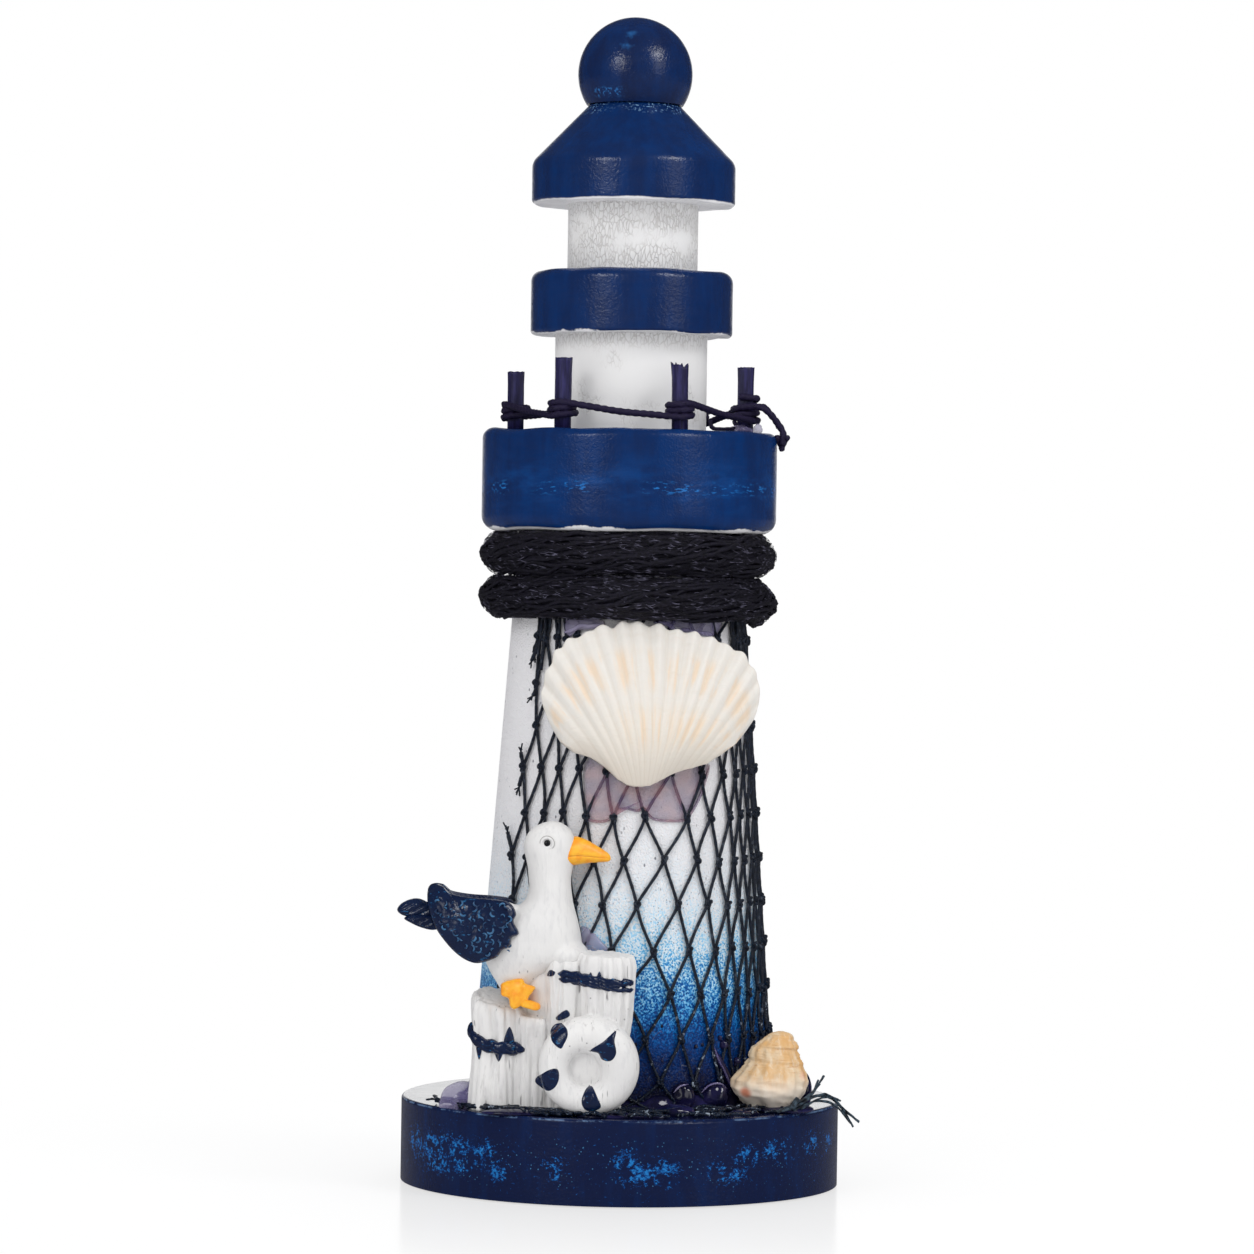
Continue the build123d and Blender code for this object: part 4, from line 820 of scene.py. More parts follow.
make("rope_turns", *join_skins(rope_skins), rope_finish, "dark_rope", ["rope_wrap"])
# Loose fibres in a dark and a pale tone; the pale ones stand for fibres catching the light: painted
# glints.
hair_and_glint_finish = two_tone("rope_hairs", (0.6,), (0.45, 0.65), (16, 15, 26), (108, 106, 128),
                       Roughness=0.5, Specular_IOR_Level=0.35)
make("rope_hairs", *join_skins(hair_skins), hair_and_glint_finish, "dark_rope", ["rope_wrap"])


# Net: knotted navy twine, drawn round the front and right of the tower, gathered under the rope and
# glued at its foot. Its left side is cut ragged, and its foot is spread over the base and frayed.
net_finish = two_tone("net_twine", (1.9, 4.0, 0.7), (0.35, 0.75), (7, 12, 24), (26, 40, 62),
                      Specular_IOR_Level=0.45)
# Pale dots on the strands: beads of glue, thickest towards the foot, and painted glints all over the net.
net_bead_and_glint = net_finish.times(net_finish.patchy(0.60, 0.66, 0.7, 3.0, 0.6),
                            net_finish.by_height(46.0, 26.0, 0.08, 0.55))
net_finish.cover(net_bead_and_glint, shade(178, 192, 210))
net_finish.put(Roughness=net_finish.by_height(26.0, 50.0, 0.1, 0.4))
net_finish.relief(net_finish.cloud, 0.18)
tower_foot, tower_foot_radius, tower_slope = 18.0, 32.2, 0.07243
net_columns = [-6, -5, -4, -3, -2, -1, 0, 1, 2, 3, 4, 5, 6, 15]
net_bearings = [-68.0, -57.0, -47.3, -36.4, -27.1, -16.4, -4.3, 9.6, 27.4, 40.2, 51.4, 59.6, 68.0, 140.0]
net_lowest, net_row, net_rows = 23.9, 9.3, 11
net_skew, net_level_height = 0.21, 80.0
net_top = 121.3
strand, strand_lay = 0.37, 2.4
net_random = random.Random(11)


def tower_radius(height):
    return tower_foot_radius - tower_slope * (height - tower_foot)


def net_bearing(column, height):
    """Where a column of the net stands round the tower: skewed, and gathered in bunches at its top."""
    bearing = float(np.interp(column, net_columns, net_bearings)) - net_skew * (net_level_height - height)
    gather = max(0.0, min(1.0, (height - 103.0) / 17.0))
    gather = gather * gather * (3 - 2 * gather)
    if column < 0:
        bearing += (-38.5 + 2.2 * (column + 2.5) - bearing) * gather * 0.62
    elif 3 < column < 8:
        bearing += (67.0 + 2.4 * (column - 5.5) - bearing) * gather * 0.55
    return bearing


def on_tower(bearing, height, proud):
    return around(bearing, tower_radius(height) + proud, height)


def net_edge(height):
    return float(np.interp(height, [24, 40, 60, 80, 100, 121], [-62, -64, -58, -54, -51, -47]))


knots = {}
for row in range(net_rows):
    for step in range(-6, 17):
        column = step + 0.5 * (row % 2)
        height = net_lowest + net_row * row
        bearing = net_bearing(column, height)
        if net_edge(height) < bearing < 141:
            knots[row, column] = (bearing + net_random.uniform(-0.7, 0.7),
                                  height + net_random.uniform(-0.5, 0.5))


def strand_along(path):
    """The net's two-ply twine laid along a path."""
    return lay_tube(path, strand, 8, 2, strand_lay, 0.2)


def strand_between(start, end, slack):
    """A strand from one (bearing, height) up to another; it leaves and meets each knot upright."""
    side = 0.5 if end[0] > start[0] else -0.5
    path = []
    for step in range(13):
        t = step / 12
        bow = math.sin(math.pi * t)
        over = max(0.0, min(1.0, (t - 0.07) / 0.86))
        over = 0.85 * over + 0.15 * over * over * (3 - 2 * over)
        bearing = start[0] + (end[0] - start[0]) * over + slack * bow + side * (1 - 2 * t)
        height = start[1] + (end[1] - start[1]) * t
        path.append(on_tower(bearing, height, 0.74 - 0.17 * bow))
    return strand_along(path)


def tie_knot(middle, out, size, roll):
    """A hard little knot: a trefoil of the strand lying against the tower."""
    sideways = Vector((0, 0, 1)).cross(out).normalized()
    rise = out.cross(sideways)
    across = sideways * math.cos(roll) + rise * math.sin(roll)
    along = rise * math.cos(roll) - sideways * math.sin(roll)
    path = []
    for t in np.linspace(0, math.tau, 40):
        path.append(middle + across * size * (math.sin(t) + 2 * math.sin(2 * t)) / 3
                    + along * size * 1.6 * (math.cos(t) - 2 * math.cos(2 * t)) / 3
                    - out * size * 0.55 * math.sin(3 * t))
    return lay_tube(path, 0.35, 7)


def cut_end(path):
    """A cut end of the twine, with its yarns sprung apart at the tip."""
    skins = [lay_tube(smooth_path(path, 0.6), strand * 1.3, 8, 2, strand_lay, 0.25)]
    tip = path[-1]
    way = (tip - path[-2]).normalized()
    for yarn in range(5):
        spring = Vector([net_random.uniform(-0.55, 0.55) for side in range(3)])
        run = [tip - way * 0.5, tip + way * 0.4 + spring * 0.2,
               tip + (way + spring) * net_random.uniform(0.8, 1.7)]
        skins.append(lay_tube(run, 0.17, 6))
    return skins


cut_stops = (0.0, 0.35, 0.7, 1.0)
net_skins = cut_end([on_tower(-43.4, 117.8, 0.9), on_tower(-45.6, 115.4, 1.0),
                     on_tower(-49.0, 111.8, 1.2)])
for (row, column), spot in knots.items():
    height = spot[1]
    out = around(spot[0], 1, 0)
    net_skins.append(tie_knot(on_tower(spot[0], height, 0.98), out, 0.58, net_random.uniform(-0.5, 0.5)))
    for side in (-0.5, 0.5):
        upper = knots.get((row + 1, column + side))
        if upper:
            net_skins.append(strand_between(spot, upper, net_random.uniform(-0.7, 0.7)))
        elif row == net_rows - 1:
            gathered = (net_bearing(column + side * 0.6, net_top), net_top)
            net_skins.append(strand_between(spot, gathered, 0.0))
        elif side < 0 and spot[0] < 0:
            length = net_random.uniform(3.0, 6.0)
            cut = [on_tower(spot[0] - net_random.uniform(0.3, 1.1) * t * length, height + t * length,
                            0.6 + 0.5 * t) for t in cut_stops]
            net_skins += cut_end(cut)
        lower = knots.get((row - 1, column + side))
        if row and not lower and spot[0] < 0 and net_random.random() < 0.7:
            length = net_random.uniform(2.2, 4.6)
            cut = [on_tower(spot[0] - net_random.uniform(0.0, 0.8) * t * length, height - t * length,
                            0.6 + 0.4 * t) for t in cut_stops]
            net_skins += cut_end(cut)
    if row == 0:
        for side in (-0.5, 0.5):
            bearing = net_bearing(column + side * 1.6, tower_foot)
            front = max(0.0, math.cos(math.radians(bearing - 5)))
            reach = 2.0 + net_random.uniform(2.0, 9.0) * front
            foot = [on_tower(spot[0], height, 0.7), on_tower((spot[0] + bearing) / 2, 20.8, 0.8),
                    around(bearing, tower_foot_radius + 1.4, 18.75),
                    around(bearing + net_random.uniform(-3, 3), tower_foot_radius + reach * 0.6, 18.55),
                    around(bearing + net_random.uniform(-7, 7), min(46.0, tower_foot_radius + reach),
                           18.5)]
            net_skins.append(strand_along(smooth_path(foot, 0.7)))
for bunch in range(5):
    bearing = -44.0 + 3.2 * bunch if bunch < 2 else 60.0 + 3.4 * (bunch - 2)
    low = 109.0 + net_random.uniform(0, 5) if bunch else 112.5
    lean = net_random.uniform(-2.0, 1.0)
    path = [on_tower(bearing + lean, low, 1.0),
            on_tower(bearing + lean * 0.4, low + 3.5, 1.1 + 0.3 * (bunch % 2)),
            on_tower(bearing, net_top, 1.0 + 0.4 * (bunch % 2))]
    net_skins.append(strand_along(smooth_path(path, 0.7)))
stray_count, by_tower_count = 210, 120
for stray in range(stray_count):
    by_gull = stray >= by_tower_count
    bearing = net_random.uniform(-60, -2) if by_gull else net_random.uniform(-66, 62)
    radius = net_random.uniform(40.5, 46.0) if by_gull else net_random.uniform(35.0, 45.4)
    turn_angle = net_random.gauss(0.0, 0.5) + math.radians(bearing)
    length = net_random.uniform(3.0, 10.0)
    along = Vector((math.cos(turn_angle), math.sin(turn_angle), 0))
    middle = around(bearing, radius, 18.42 + net_random.uniform(0, 0.8))
    bend = around(bearing, 1, 0) * net_random.uniform(-0.8, 0.8)
    bend = bend + Vector((0, 0, net_random.uniform(0, 0.5)))
    path = [middle - along * length / 2, middle + bend, middle + along * length / 2]
    if all(math.hypot(spot.x, spot.y) < 46.6 for spot in path):
        thick = net_random.uniform(0.24, 0.46)
        net_skins.append(lay_tube(smooth_path(path, 0.7), thick, 7, 2, 2.0, 0.25))
make("net_knotted", *join_skins(net_skins), net_finish, "net_twine", ["fishing_net"])
fray_finish = two_tone("net_cut_ends", (0.9, 3.0), (0.35, 0.65), (12, 18, 28), (58, 76, 90),
                       Roughness=0.5, Specular_IOR_Level=0.35)
fray_runs = [[(33.5, -31.6, 18.8), (37.5, -29.5, 20.4), (40.6, -27.0, 22.4), (42.9, -25.0, 25.6)],
             [(34.5, -31.2, 18.9), (38.0, -29.6, 20.6), (40.4, -27.6, 22.0), (41.7, -26.2, 24.8)],
             [(32.5, -32.4, 18.7), (36.6, -30.6, 19.6), (39.8, -28.0, 21.4), (42.0, -26.0, 23.9)],
             [(33.0, -32.8, 18.6), (36.0, -31.6, 19.4), (38.6, -29.6, 20.4), (40.2, -28.4, 21.6)],
             [(35.5, -31.0, 18.9), (40.2, -26.8, 20.9), (43.4, -24.0, 21.6), (46.4, -21.6, 19.2),
              (49.4, -20.4, 14.4)],
             [(36.0, -30.4, 19.0), (40.6, -26.0, 21.2), (44.2, -22.6, 20.8), (47.4, -20.4, 18.0),
              (50.7, -19.0, 15.3)],
             [(36.4, -30.2, 18.8), (41.0, -26.4, 20.3), (44.6, -23.4, 19.6), (46.8, -22.0, 17.8),
              (48.9, -21.2, 15.2)],
             [(38.0, -28.8, 18.9), (41.6, -25.4, 20.6), (44.4, -22.8, 20.9), (46.6, -21.0, 19.9)]]
fray_skins = []
for run in fray_runs:
    path = []
    for number, spot in enumerate(smooth_path(run, 0.5)):
        stray = [noise.noise((number * 0.35, run[0][0], layer)) for layer in (0.0, 5.0, 9.0)]
        path.append(spot + Vector(stray) * 0.1)
    fray_skins.append(lay_tube(path, net_random.uniform(0.24, 0.33), 9, 2, 0.5, 0.35))
collar = [(35.6, -31.8, 19.2), (36.4, -31.4, 20.2), (37.3, -30.9, 21.3)]
fray_skins.append(lay_tube(smooth_path(collar, 0.4), 0.6, 12, 2, 0.4, 0.3))
make("net_cut_ends", *join_skins(fray_skins), fray_finish, "net_twine", ["fishing_net"])


# Scallop: one valve of a natural scallop, cream with peach streaks, its fan of round ribs ending in a
# wavy margin. It is glued over the net by its hollow, knob down, its knob a little left of the middle.
scallop_finish = Finish("scallop_shell", Specular_IOR_Level=0.45)
fan_across, fan_reach, rib_side = [
    scallop_finish.add("ShaderNodeAttribute", attribute_name=name).outputs["Fac"]
    for name in ("fan_across", "fan_reach", "rib_side")]


def over_fan(across, along, detail=3.0):
    """Noise that runs with the shell's ribs: so many features across the fan and along a rib."""
    sideways, outward = scallop_finish.times(fan_across, across), scallop_finish.times(fan_reach, along)
    place = scallop_finish.add("ShaderNodeCombineXYZ", {0: sideways, 1: outward}).outputs[0]
    return scallop_finish.add("ShaderNodeTexNoise", {"Vector": place, "Scale": 1.0, "Detail": detail,
                                                     "Roughness": 0.6}).outputs[0]


far_band = scallop_finish.band(fan_reach, (0.52, 0.66), (0.90, 0.78))
near_band = scallop_finish.times(scallop_finish.band(fan_reach, (0.16, 0.30), (0.56, 0.42)),
                                 scallop_finish.share(fan_across, -0.5, -0.15))
peach_streak = scallop_finish.times(scallop_finish.calc("MAXIMUM", far_band, near_band),
                                    scallop_finish.share(over_fan(12.0, 2.2), 0.42, 0.62),
                                    scallop_finish.share(rib_side, 0.95, 0.45, 0.35, 1.0), 0.6)
growth = over_fan(4.0, 46.0)
scallop_finish.cover(scallop_finish.share(fan_reach, 0.0, 0.75), shade(221, 217, 211),
                     under=shade(226, 218, 206))
scallop_finish.cover(peach_streak, shade(232, 203, 168))
# Darker in the valleys between the ribs: painted shade.
scallop_finish.cover(scallop_finish.share(rib_side, 0.35, 0.0, 0.0, 0.15), shade(186, 170, 150))
scallop_finish.cover(scallop_finish.share(growth, 0.5, 0.85, 0.0, 0.16), shade(206, 188, 164))
scallop_finish.put(Roughness=scallop_finish.share(growth, 0.3, 0.7, 0.38, 0.5),
                   Subsurface_Weight=0.05, Subsurface_Radius=(0.003, 0.002, 0.0015))
scallop_finish.relief(growth, 0.1)
scallop_azimuth, scallop_standoff = 7.5, 1.5
fan_middle, fan_height = 4.4, 78.5
rib_count, shell_wall = 18, 1.3
fan_ends = (-47.4, 48.5)
lower_edge = [(-47.4, 24.0), (-46.4, 20.9), (-41.1, 17.8), (-37.5, 14.5), (-34.2, 10.8), (-28.0, 8.8),
              (-20.0, 7.9), (-8.0, 7.5), (5.2, 7.7), (14.0, 8.6), (21.9, 9.9), (31.7, 12.4), (40.1, 14.9),
              (46.0, 17.8), (48.0, 21.6), (48.5, 25.0)]
upper_edge = [(-47.4, 24.6), (-44.7, 28.9), (-42.2, 32.3), (-39.8, 34.4), (-34.7, 37.6), (-28.8, 40.0),
              (-20.6, 41.6), (-13.0, 41.8), (-2.0, 41.6), (7.4, 40.9), (16.0, 40.8), (25.8, 41.0),
              (29.0, 40.8), (34.5, 39.3), (38.1, 38.2), (42.7, 35.1), (46.3, 31.3), (48.0, 27.5),
              (48.5, 25.6)]
shell_out = (around(scallop_azimuth, 1, 0) + Vector((0, 0, math.sin(tower_slope)))).normalized()
shell_right = around(scallop_azimuth + 90, 1, 0)
shell_rise = shell_out.cross(shell_right)
fan_point = around(scallop_azimuth, tower_radius(fan_height) + scallop_standoff, fan_height)
fan_point += shell_right * (fan_middle - fan_point.x) / shell_right.x
fan_steps, reach_steps = rib_count * 16, 84
front_grid, back_grid, across_values, reach_values, rib_values = [], [], [], [], []
for reach_step in range(reach_steps + 1):
    t = reach_step / reach_steps
    for fan_step in range(fan_steps + 1):
        side = 2 * fan_step / fan_steps - 1
        angle = fan_ends[0] + (fan_ends[1] - fan_ends[0]) * (side + 1) / 2
        turn_angle = math.pi * rib_count * (side + 1) + 0.8 * noise.noise((side * 5, 8.1, 0))
        rib = (0.5 - 0.5 * math.cos(turn_angle)) ** 0.8
        near = float(np.interp(angle, *zip(*lower_edge)))
        far = float(np.interp(angle, *zip(*upper_edge)))
        far += (0.65 * rib - 0.2 + 0.9 * noise.noise((side * 11, 3.3, 0.0))) * (1 - abs(side) ** 6)
        reach = near + (far - near) * t
        spread = 1 - 0.80 * abs(side) ** 2.6
        dome = 1 - 0.8 * (1 - t / 0.36) ** 2.0 if t < 0.36 else 1 - 0.90 * ((t - 0.36) / 0.64) ** 1.8
        ridge = 0.54 * (0.16 + 0.84 * t) * (rib - 0.5) * (1 - abs(side) ** 6) * min(1.0, t / 0.1)
        ring = sum(0.14 / (1 + ((t - level - 0.012 * noise.noise((side * 4, level, 0))) / 0.010) ** 2)
                   for level in (0.46, 0.60, 0.72, 0.84, 0.93))
        lip = 0.7 * max(0.0, t - 0.88) / 0.12 * noise.noise((side * 7, 0.7, 2.0))
        lift = 1.3 + 7.6 * spread * dome + ridge - ring * spread + lip
        flat = fan_point + shell_right * reach * math.sin(math.radians(angle))
        flat = flat + shell_rise * reach * math.cos(math.radians(angle))
        wall = max(0.1, min(shell_wall * (1.0 - 0.5 * t ** 3), lift - 0.05))
        front_grid.append(flat + shell_out * lift)
        back_grid.append(flat + shell_out * (lift - wall))
        across_values.append(side)
        reach_values.append(t)
        rib_values.append(rib)
row_length = fan_steps + 1
shell_points = front_grid + back_grid
shell_faces, behind = [], len(front_grid)
for reach_step in range(reach_steps):
    for fan_step in range(fan_steps):
        a = reach_step * row_length + fan_step
        shell_faces.append((a, a + 1, a + row_length + 1, a + row_length))
        shell_faces.append((behind + a, behind + a + row_length, behind + a + row_length + 1,
                            behind + a + 1))
rim = list(range(row_length))
rim += [reach_step * row_length + fan_steps for reach_step in range(1, reach_steps + 1)]
rim += [reach_steps * row_length + fan_step for fan_step in range(fan_steps - 1, -1, -1)]
rim += [reach_step * row_length for reach_step in range(reach_steps - 1, 0, -1)]
for here, following in zip(rim, rim[1:] + rim[:1]):
    shell_faces.append((following, here, behind + here, behind + following))
scallop = make("scallop_valve", shell_points, shell_faces, scallop_finish, "shell", ["scallop_shell"])
for name, values in (("fan_across", across_values), ("fan_reach", reach_values),
                     ("rib_side", rib_values)):
    scallop.data.attributes.new(name, "FLOAT", "POINT").data.foreach_set("value", values + values)


# Whelk: a small natural sea snail, cream and tan, seen from behind its lip: a broad body whorl with
# low ribs under a stepped spire. It stands on its lip, glued to the base beside the tower.
whelk_finish = two_tone("whelk_shell", (0.2, 4.0, 0.6, (1.0, 1.0, 0.6)), (0.34, 0.66), (220, 200, 170),
                        (214, 168, 110), Specular_IOR_Level=0.45, Roughness=0.44)
# Paler towards the lip at the bottom: partly the shell's own colour, partly painted light against the
# shade there.
whelk_finish.cover(whelk_finish.times(whelk_finish.by_height(27.0, 20.5), 0.85), shade(238, 230, 220))
whelk_line = whelk_finish.times(whelk_finish.patchy(0.58, 0.68, 0.8, 4.0, 0.7, (0.25, 0.25, 2.6)),
                                whelk_finish.by_height(21, 28), 0.55)
whelk_finish.cover(whelk_line, shade(176, 116, 66))
whelk_rib_tone = whelk_finish.noise(0.85, 3.0, 0.6, (1.0, 1.0, 0.1))
whelk_finish.cover(whelk_finish.share(whelk_rib_tone, 0.52, 0.7, 0.0, 0.5), shade(228, 214, 192))
whelk_spot = whelk_finish.calc("MAXIMUM", whelk_finish.near((26.0, -30.0, 22.0), 2.0),
                               whelk_finish.times(whelk_finish.near((38.2, -27.0, 25.6), 1.8), 0.5))
whelk_finish.cover(whelk_finish.times(whelk_spot, 0.75), shade(214, 104, 60))
whelk_finish.relief(whelk_finish.noise(1.3, 3.0, 0.6), 0.08)
whelk_levels = [18.0, 19.5, 20.3, 21.6, 22.95, 24.6, 26.2, 27.8, 29.1, 30.4, 31.7, 33.0, 34.0, 34.5, 34.8]
whelk_left = [27.6, 26.3, 25.2, 24.1, 23.6, 23.8, 25.2, 26.5, 27.1, 27.4, 28.0, 29.9, 30.9, 32.0, 33.2]
whelk_right = [36.0, 36.8, 37.4, 38.2, 38.7, 39.1, 39.0, 38.4, 37.6, 37.3, 37.2, 36.5, 36.0, 35.3, 34.3]
whelk_deep, whelk_sides, whelk_rings = -24.6, 120, []
for level in np.linspace(18.0, 34.8, 110):
    left, right = np.interp(level, whelk_levels, whelk_left), np.interp(level, whelk_levels, whelk_right)
    whorl = float(np.interp(level, [18.0, 27.6, 30.9, 33.1, 34.8], [0.15, 1.0, 2.0, 3.0, 4.0]))
    ring = []
    for side in range(whelk_sides):
        angle = math.tau * side / whelk_sides
        place = (whorl + angle / math.tau) % 1.0
        wavy = math.cos(15 * angle + 1.7 * whorl)
        seam = math.exp(-(min(place, 1 - place) / 0.07) ** 2)
        step = 0.065 * math.sin(math.pi * place ** 0.55) - 0.012 * seam
        rib = 0.028 * wavy * math.sin(math.pi * place) + 0.008 * math.cos(math.tau * 6 * place)
        knob = 0.05 * max(0.0, wavy) * math.exp(-((place - 0.72) / 0.10) ** 2)
        lump = 0.05 * noise.noise((math.cos(angle) * 2.5, math.sin(angle) * 2.5, level / 2))
        lip = math.exp(-((math.degrees(angle) - 249) / 15) ** 2)
        foot_gap = 1 - 0.46 * lip * max(0.0, 1 - (level - 18) / 3.4)
        half = (right - left) / 2 * ((0.99 + step + rib + knob + lump) * foot_gap)
        ring.append(Vector(((left + right) / 2 + half * math.cos(angle),
                            whelk_deep + 0.84 * half * math.sin(angle), level)))
    whelk_rings.append(ring)
make("whelk_snail", *stack_rings(whelk_rings), whelk_finish, "whelk", ["whelk_shell"])


# Gull: one resin casting of a gull standing on cut pilings, with lashings and a life ring, painted
# white by hand and then picked out in navy, yellow and black. It is glued to the front of the base.
resin_finish = two_tone("resin_white", (0.12, 3.0, 0.5), (0.3, 0.75), (226, 225, 224), (216, 215, 215),
                        Specular_IOR_Level=0.4)
resin_brush = resin_finish.noise(0.9, 4.0, 0.6, (1.0, 1.0, 0.22))
resin_wash = resin_finish.times(resin_finish.by_height(48.0, 38.0),
                                resin_finish.patchy(0.56, 0.70, 0.8, 4.0, 0.7, (1.0, 1.0, 0.14)), 0.42)
resin_finish.cover(resin_wash, shade(160, 156, 156))
resin_finish.cover(resin_finish.times(resin_finish.share(resin_brush, 0.50, 0.70), 0.24),
                   shade(178, 178, 182))
resin_crack = resin_finish.times(resin_finish.by_height(56.0, 44.0),
                                 resin_finish.patchy(0.69, 0.73, 0.75, 2.0, 0.5, (1.6, 1.6, 0.16)), 0.7)
resin_finish.cover(resin_crack, shade(86, 84, 88))
resin_pit = resin_finish.times(resin_finish.share(resin_finish.cells(0.30), 0.07, 0.04),
                               resin_finish.by_height(60.0, 40.0), 0.6)
resin_finish.cover(resin_pit, shade(96, 94, 98))
resin_finish.put(Roughness=resin_finish.share(resin_brush, 0.3, 0.7, 0.40, 0.54))
resin_finish.relief(resin_brush, 0.13)
gull_middle = -32.4


def egg(centre, half, tilt=0.0, sides=36, levels=20):
    """Points and faces of an egg with half sizes along X, Y and Z, tilted about Y."""
    rings = []
    lean = Matrix.Rotation(math.radians(tilt), 3, "Y")
    angles = [math.tau * side / sides for side in range(sides)]
    for level in range(1, levels):
        fall = math.pi * level / levels
        wide, deep, rise = half[0] * math.sin(fall), half[1] * math.sin(fall), -half[2] * math.cos(fall)
        oval = [Vector((wide * math.cos(angle), deep * math.sin(angle), rise)) for angle in angles]
        rings.append([Vector(centre) + lean @ spot for spot in oval])
    return stack_rings(rings)


def piling(centre, half_width, half_depth, top, slopes, seed, foot=1.0):
    """A weathered log with bark grooves, sawn off at a slope and ringed on its top."""
    sides, rings = 110, []
    for level in np.linspace(0.0, 1.0, 30):
        ring = []
        for side in range(sides):
            angle = math.tau * side / sides
            grain = noise.noise((2.6 * math.cos(angle), 2.6 * math.sin(angle), seed + level * 0.5))
            groove = abs(noise.noise((3.7 * math.cos(angle), 3.7 * math.sin(angle),
                                      seed + 7 + level * 0.7)))
            groove = 0.24 * max(0.0, 0.22 - groove) / 0.22
            swell = 1 + 0.05 * math.cos(math.pi * 2 * level) + 0.14 * grain - groove
            edge = 1 - 0.10 * (max(0.0, level - 0.93) / 0.07) ** 2
            edge = edge * (foot + (1 - foot) * min(1.0, level / 0.6))
            x = half_width * swell * edge * math.cos(angle)
            y = half_depth * swell * edge * math.sin(angle)
            slope = (slopes[0] * x + slopes[1] * y) * level ** 2
            height = tower_foot - 0.05 + (top - tower_foot) * level + slope
            ring.append(Vector((centre[0] + x, centre[1] + y, height)))
        rings.append(ring)
    crown = rings[-1]
    middle = sum(crown, Vector()) / sides
    for shrink, drop in ((0.90, 0.15), (0.80, -0.1), (0.72, -0.45), (0.66, 0.0), (0.46, -0.05),
                         (0.40, -0.4), (0.34, 0.0), (0.1, 0.0)):
        rings.append([middle + (spot - middle) * shrink + Vector((0, 0, drop)) for spot in crown])
    return stack_rings(rings)


def hoop(centre, turned, lean, outer, thick, squeeze=0.85, lopsided=0.0):
    """A ring standing on edge, turned about the upright and leaning back, thicker up on its right."""
    swing = Matrix.Rotation(math.radians(-turned), 3, "Z") @ Matrix.Rotation(math.radians(-lean), 3, "X")
    points, faces = [], []
    steps, sides = 72, 30
    for step in range(steps):
        angle = math.tau * step / steps
        out = Vector((math.cos(angle), 0, math.sin(angle)))
        for side in range(sides):
            round_angle = math.tau * side / sides
            tube = thick + lopsided * math.cos(angle - 0.7)
            spot = out * (outer - tube + tube * math.cos(round_angle))
            spot = spot + Vector((0, tube * squeeze * math.sin(round_angle), 0))
            points.append(Vector(centre) + swing @ spot)
            near, far, beside = step * sides, (step + 1) % steps * sides, (side + 1) % sides
            faces.append((near + side, near + beside, far + beside, far + side))
    return points, faces


def cast(name, forms, grain, softness):
    """Runs several closed forms together into one casting, softened as the mould would."""
    piece = make(name, *join_skins(forms), resin_finish, "cast_resin", ["gull_figurine"])
    flow = piece.modifiers.new("flow", "REMESH")
    flow.mode = "VOXEL"
    flow.voxel_size = grain * millimetre
    soften = piece.modifiers.new("soften", "SMOOTH")
    soften.factor = 0.5
    soften.iterations = softness
    ready = bpy.context.evaluated_depsgraph_get()
    mesh = bpy.data.meshes.new_from_object(piece.evaluated_get(ready))
    piece.modifiers.clear()
    piece.data = mesh
    mesh.polygons.foreach_set("use_smooth", [True] * len(mesh.polygons))
    return BVHTree.FromPolygons([spot.co * 1000 for spot in mesh.vertices],
                                [tuple(face.vertices) for face in mesh.polygons])


ring_centre, ring_outer, ring_thick, ring_lopsided = (-6.5, -41.2, 28.5), 10.5, 3.65, 0.6
gull_slices = [(43.5, -25.4, -18.8, 3.0), (45.0, -26.2, -18.0, 3.7), (46.5, -27.2, -16.5, 4.5),
               (48.0, -28.0, -13.4, 5.2), (49.5, -28.6, -10.4, 5.9), (51.0, -28.8, -8.9, 6.3),
               (52.5, -28.8, -8.3, 6.5), (54.5, -28.4, -8.5, 6.5), (56.5, -27.2, -8.9, 6.3),
               (58.5, -25.2, -9.4, 5.9), (60.5, -22.4, -10.0, 5.3), (62.0, -20.5, -10.4, 4.8),
               (63.5, -19.8, -10.6, 4.5), (65.0, -19.6, -10.8, 4.3), (67.0, -19.8, -10.9, 4.3),
               (69.0, -20.0, -10.5, 4.45), (70.5, -20.3, -10.2, 4.6), (72.0, -20.7, -10.0, 4.8),
               (73.5, -20.9, -9.9, 4.8), (75.0, -20.6, -10.1, 4.6), (76.4, -19.9, -10.7, 4.1),
               (77.6, -18.6, -11.7, 3.2), (78.4, -16.8, -13.0, 1.9), (78.8, -15.2, -14.4, 0.5)]
gull_trunk = []
for height, left, right, half_depth in gull_slices:
    gull_trunk.append([Vector(((left + right) / 2 + (right - left) / 2 * math.cos(angle),
                               gull_middle + half_depth * math.sin(angle), height))
                       for angle in np.linspace(0, math.tau, 48, endpoint=False)])
bird_forms = [stack_rings(gull_trunk), egg((-27.5, gull_middle, 56.6), (10.5, 5.9, 5.6), 5.0),
              egg((-33.0, gull_middle, 58.4), (6.5, 3.4, 2.8), 6.0),
              egg((-11.4, gull_middle - 1.2, 50.8), (4.6, 5.0, 3.4))]
bird_skin = cast("gull_bird", bird_forms, 0.30, 14)
piling_forms = [piling((-25.2, -30.8), 6.0, 4.9, 41.6, (-0.10, 0.42), 1.0),
                piling((-18.0, -33.2), 4.2, 3.9, 38.6, (-0.08, 0.25), 12.0),
                piling((-11.2, -35.0), 4.6, 4.0, 50.2, (0.0, 0.1), 23.0),
                piling((-3.3, -37.3), 6.2, 4.3, 51.5, (-0.05, 0.12), 34.0, 0.5),
                egg((-15.0, -33.0, 42.5), (5.0, 2.8, 8.5)),
                egg((ring_centre[0], ring_centre[1] + 1.2, ring_centre[2]), (4.8, 1.5, 4.8)),
                hoop(ring_centre, 0.0, 0.0, ring_outer, ring_thick, 0.95, ring_lopsided)]
piling_skin = cast("gull_pilings", piling_forms, 0.26, 5)


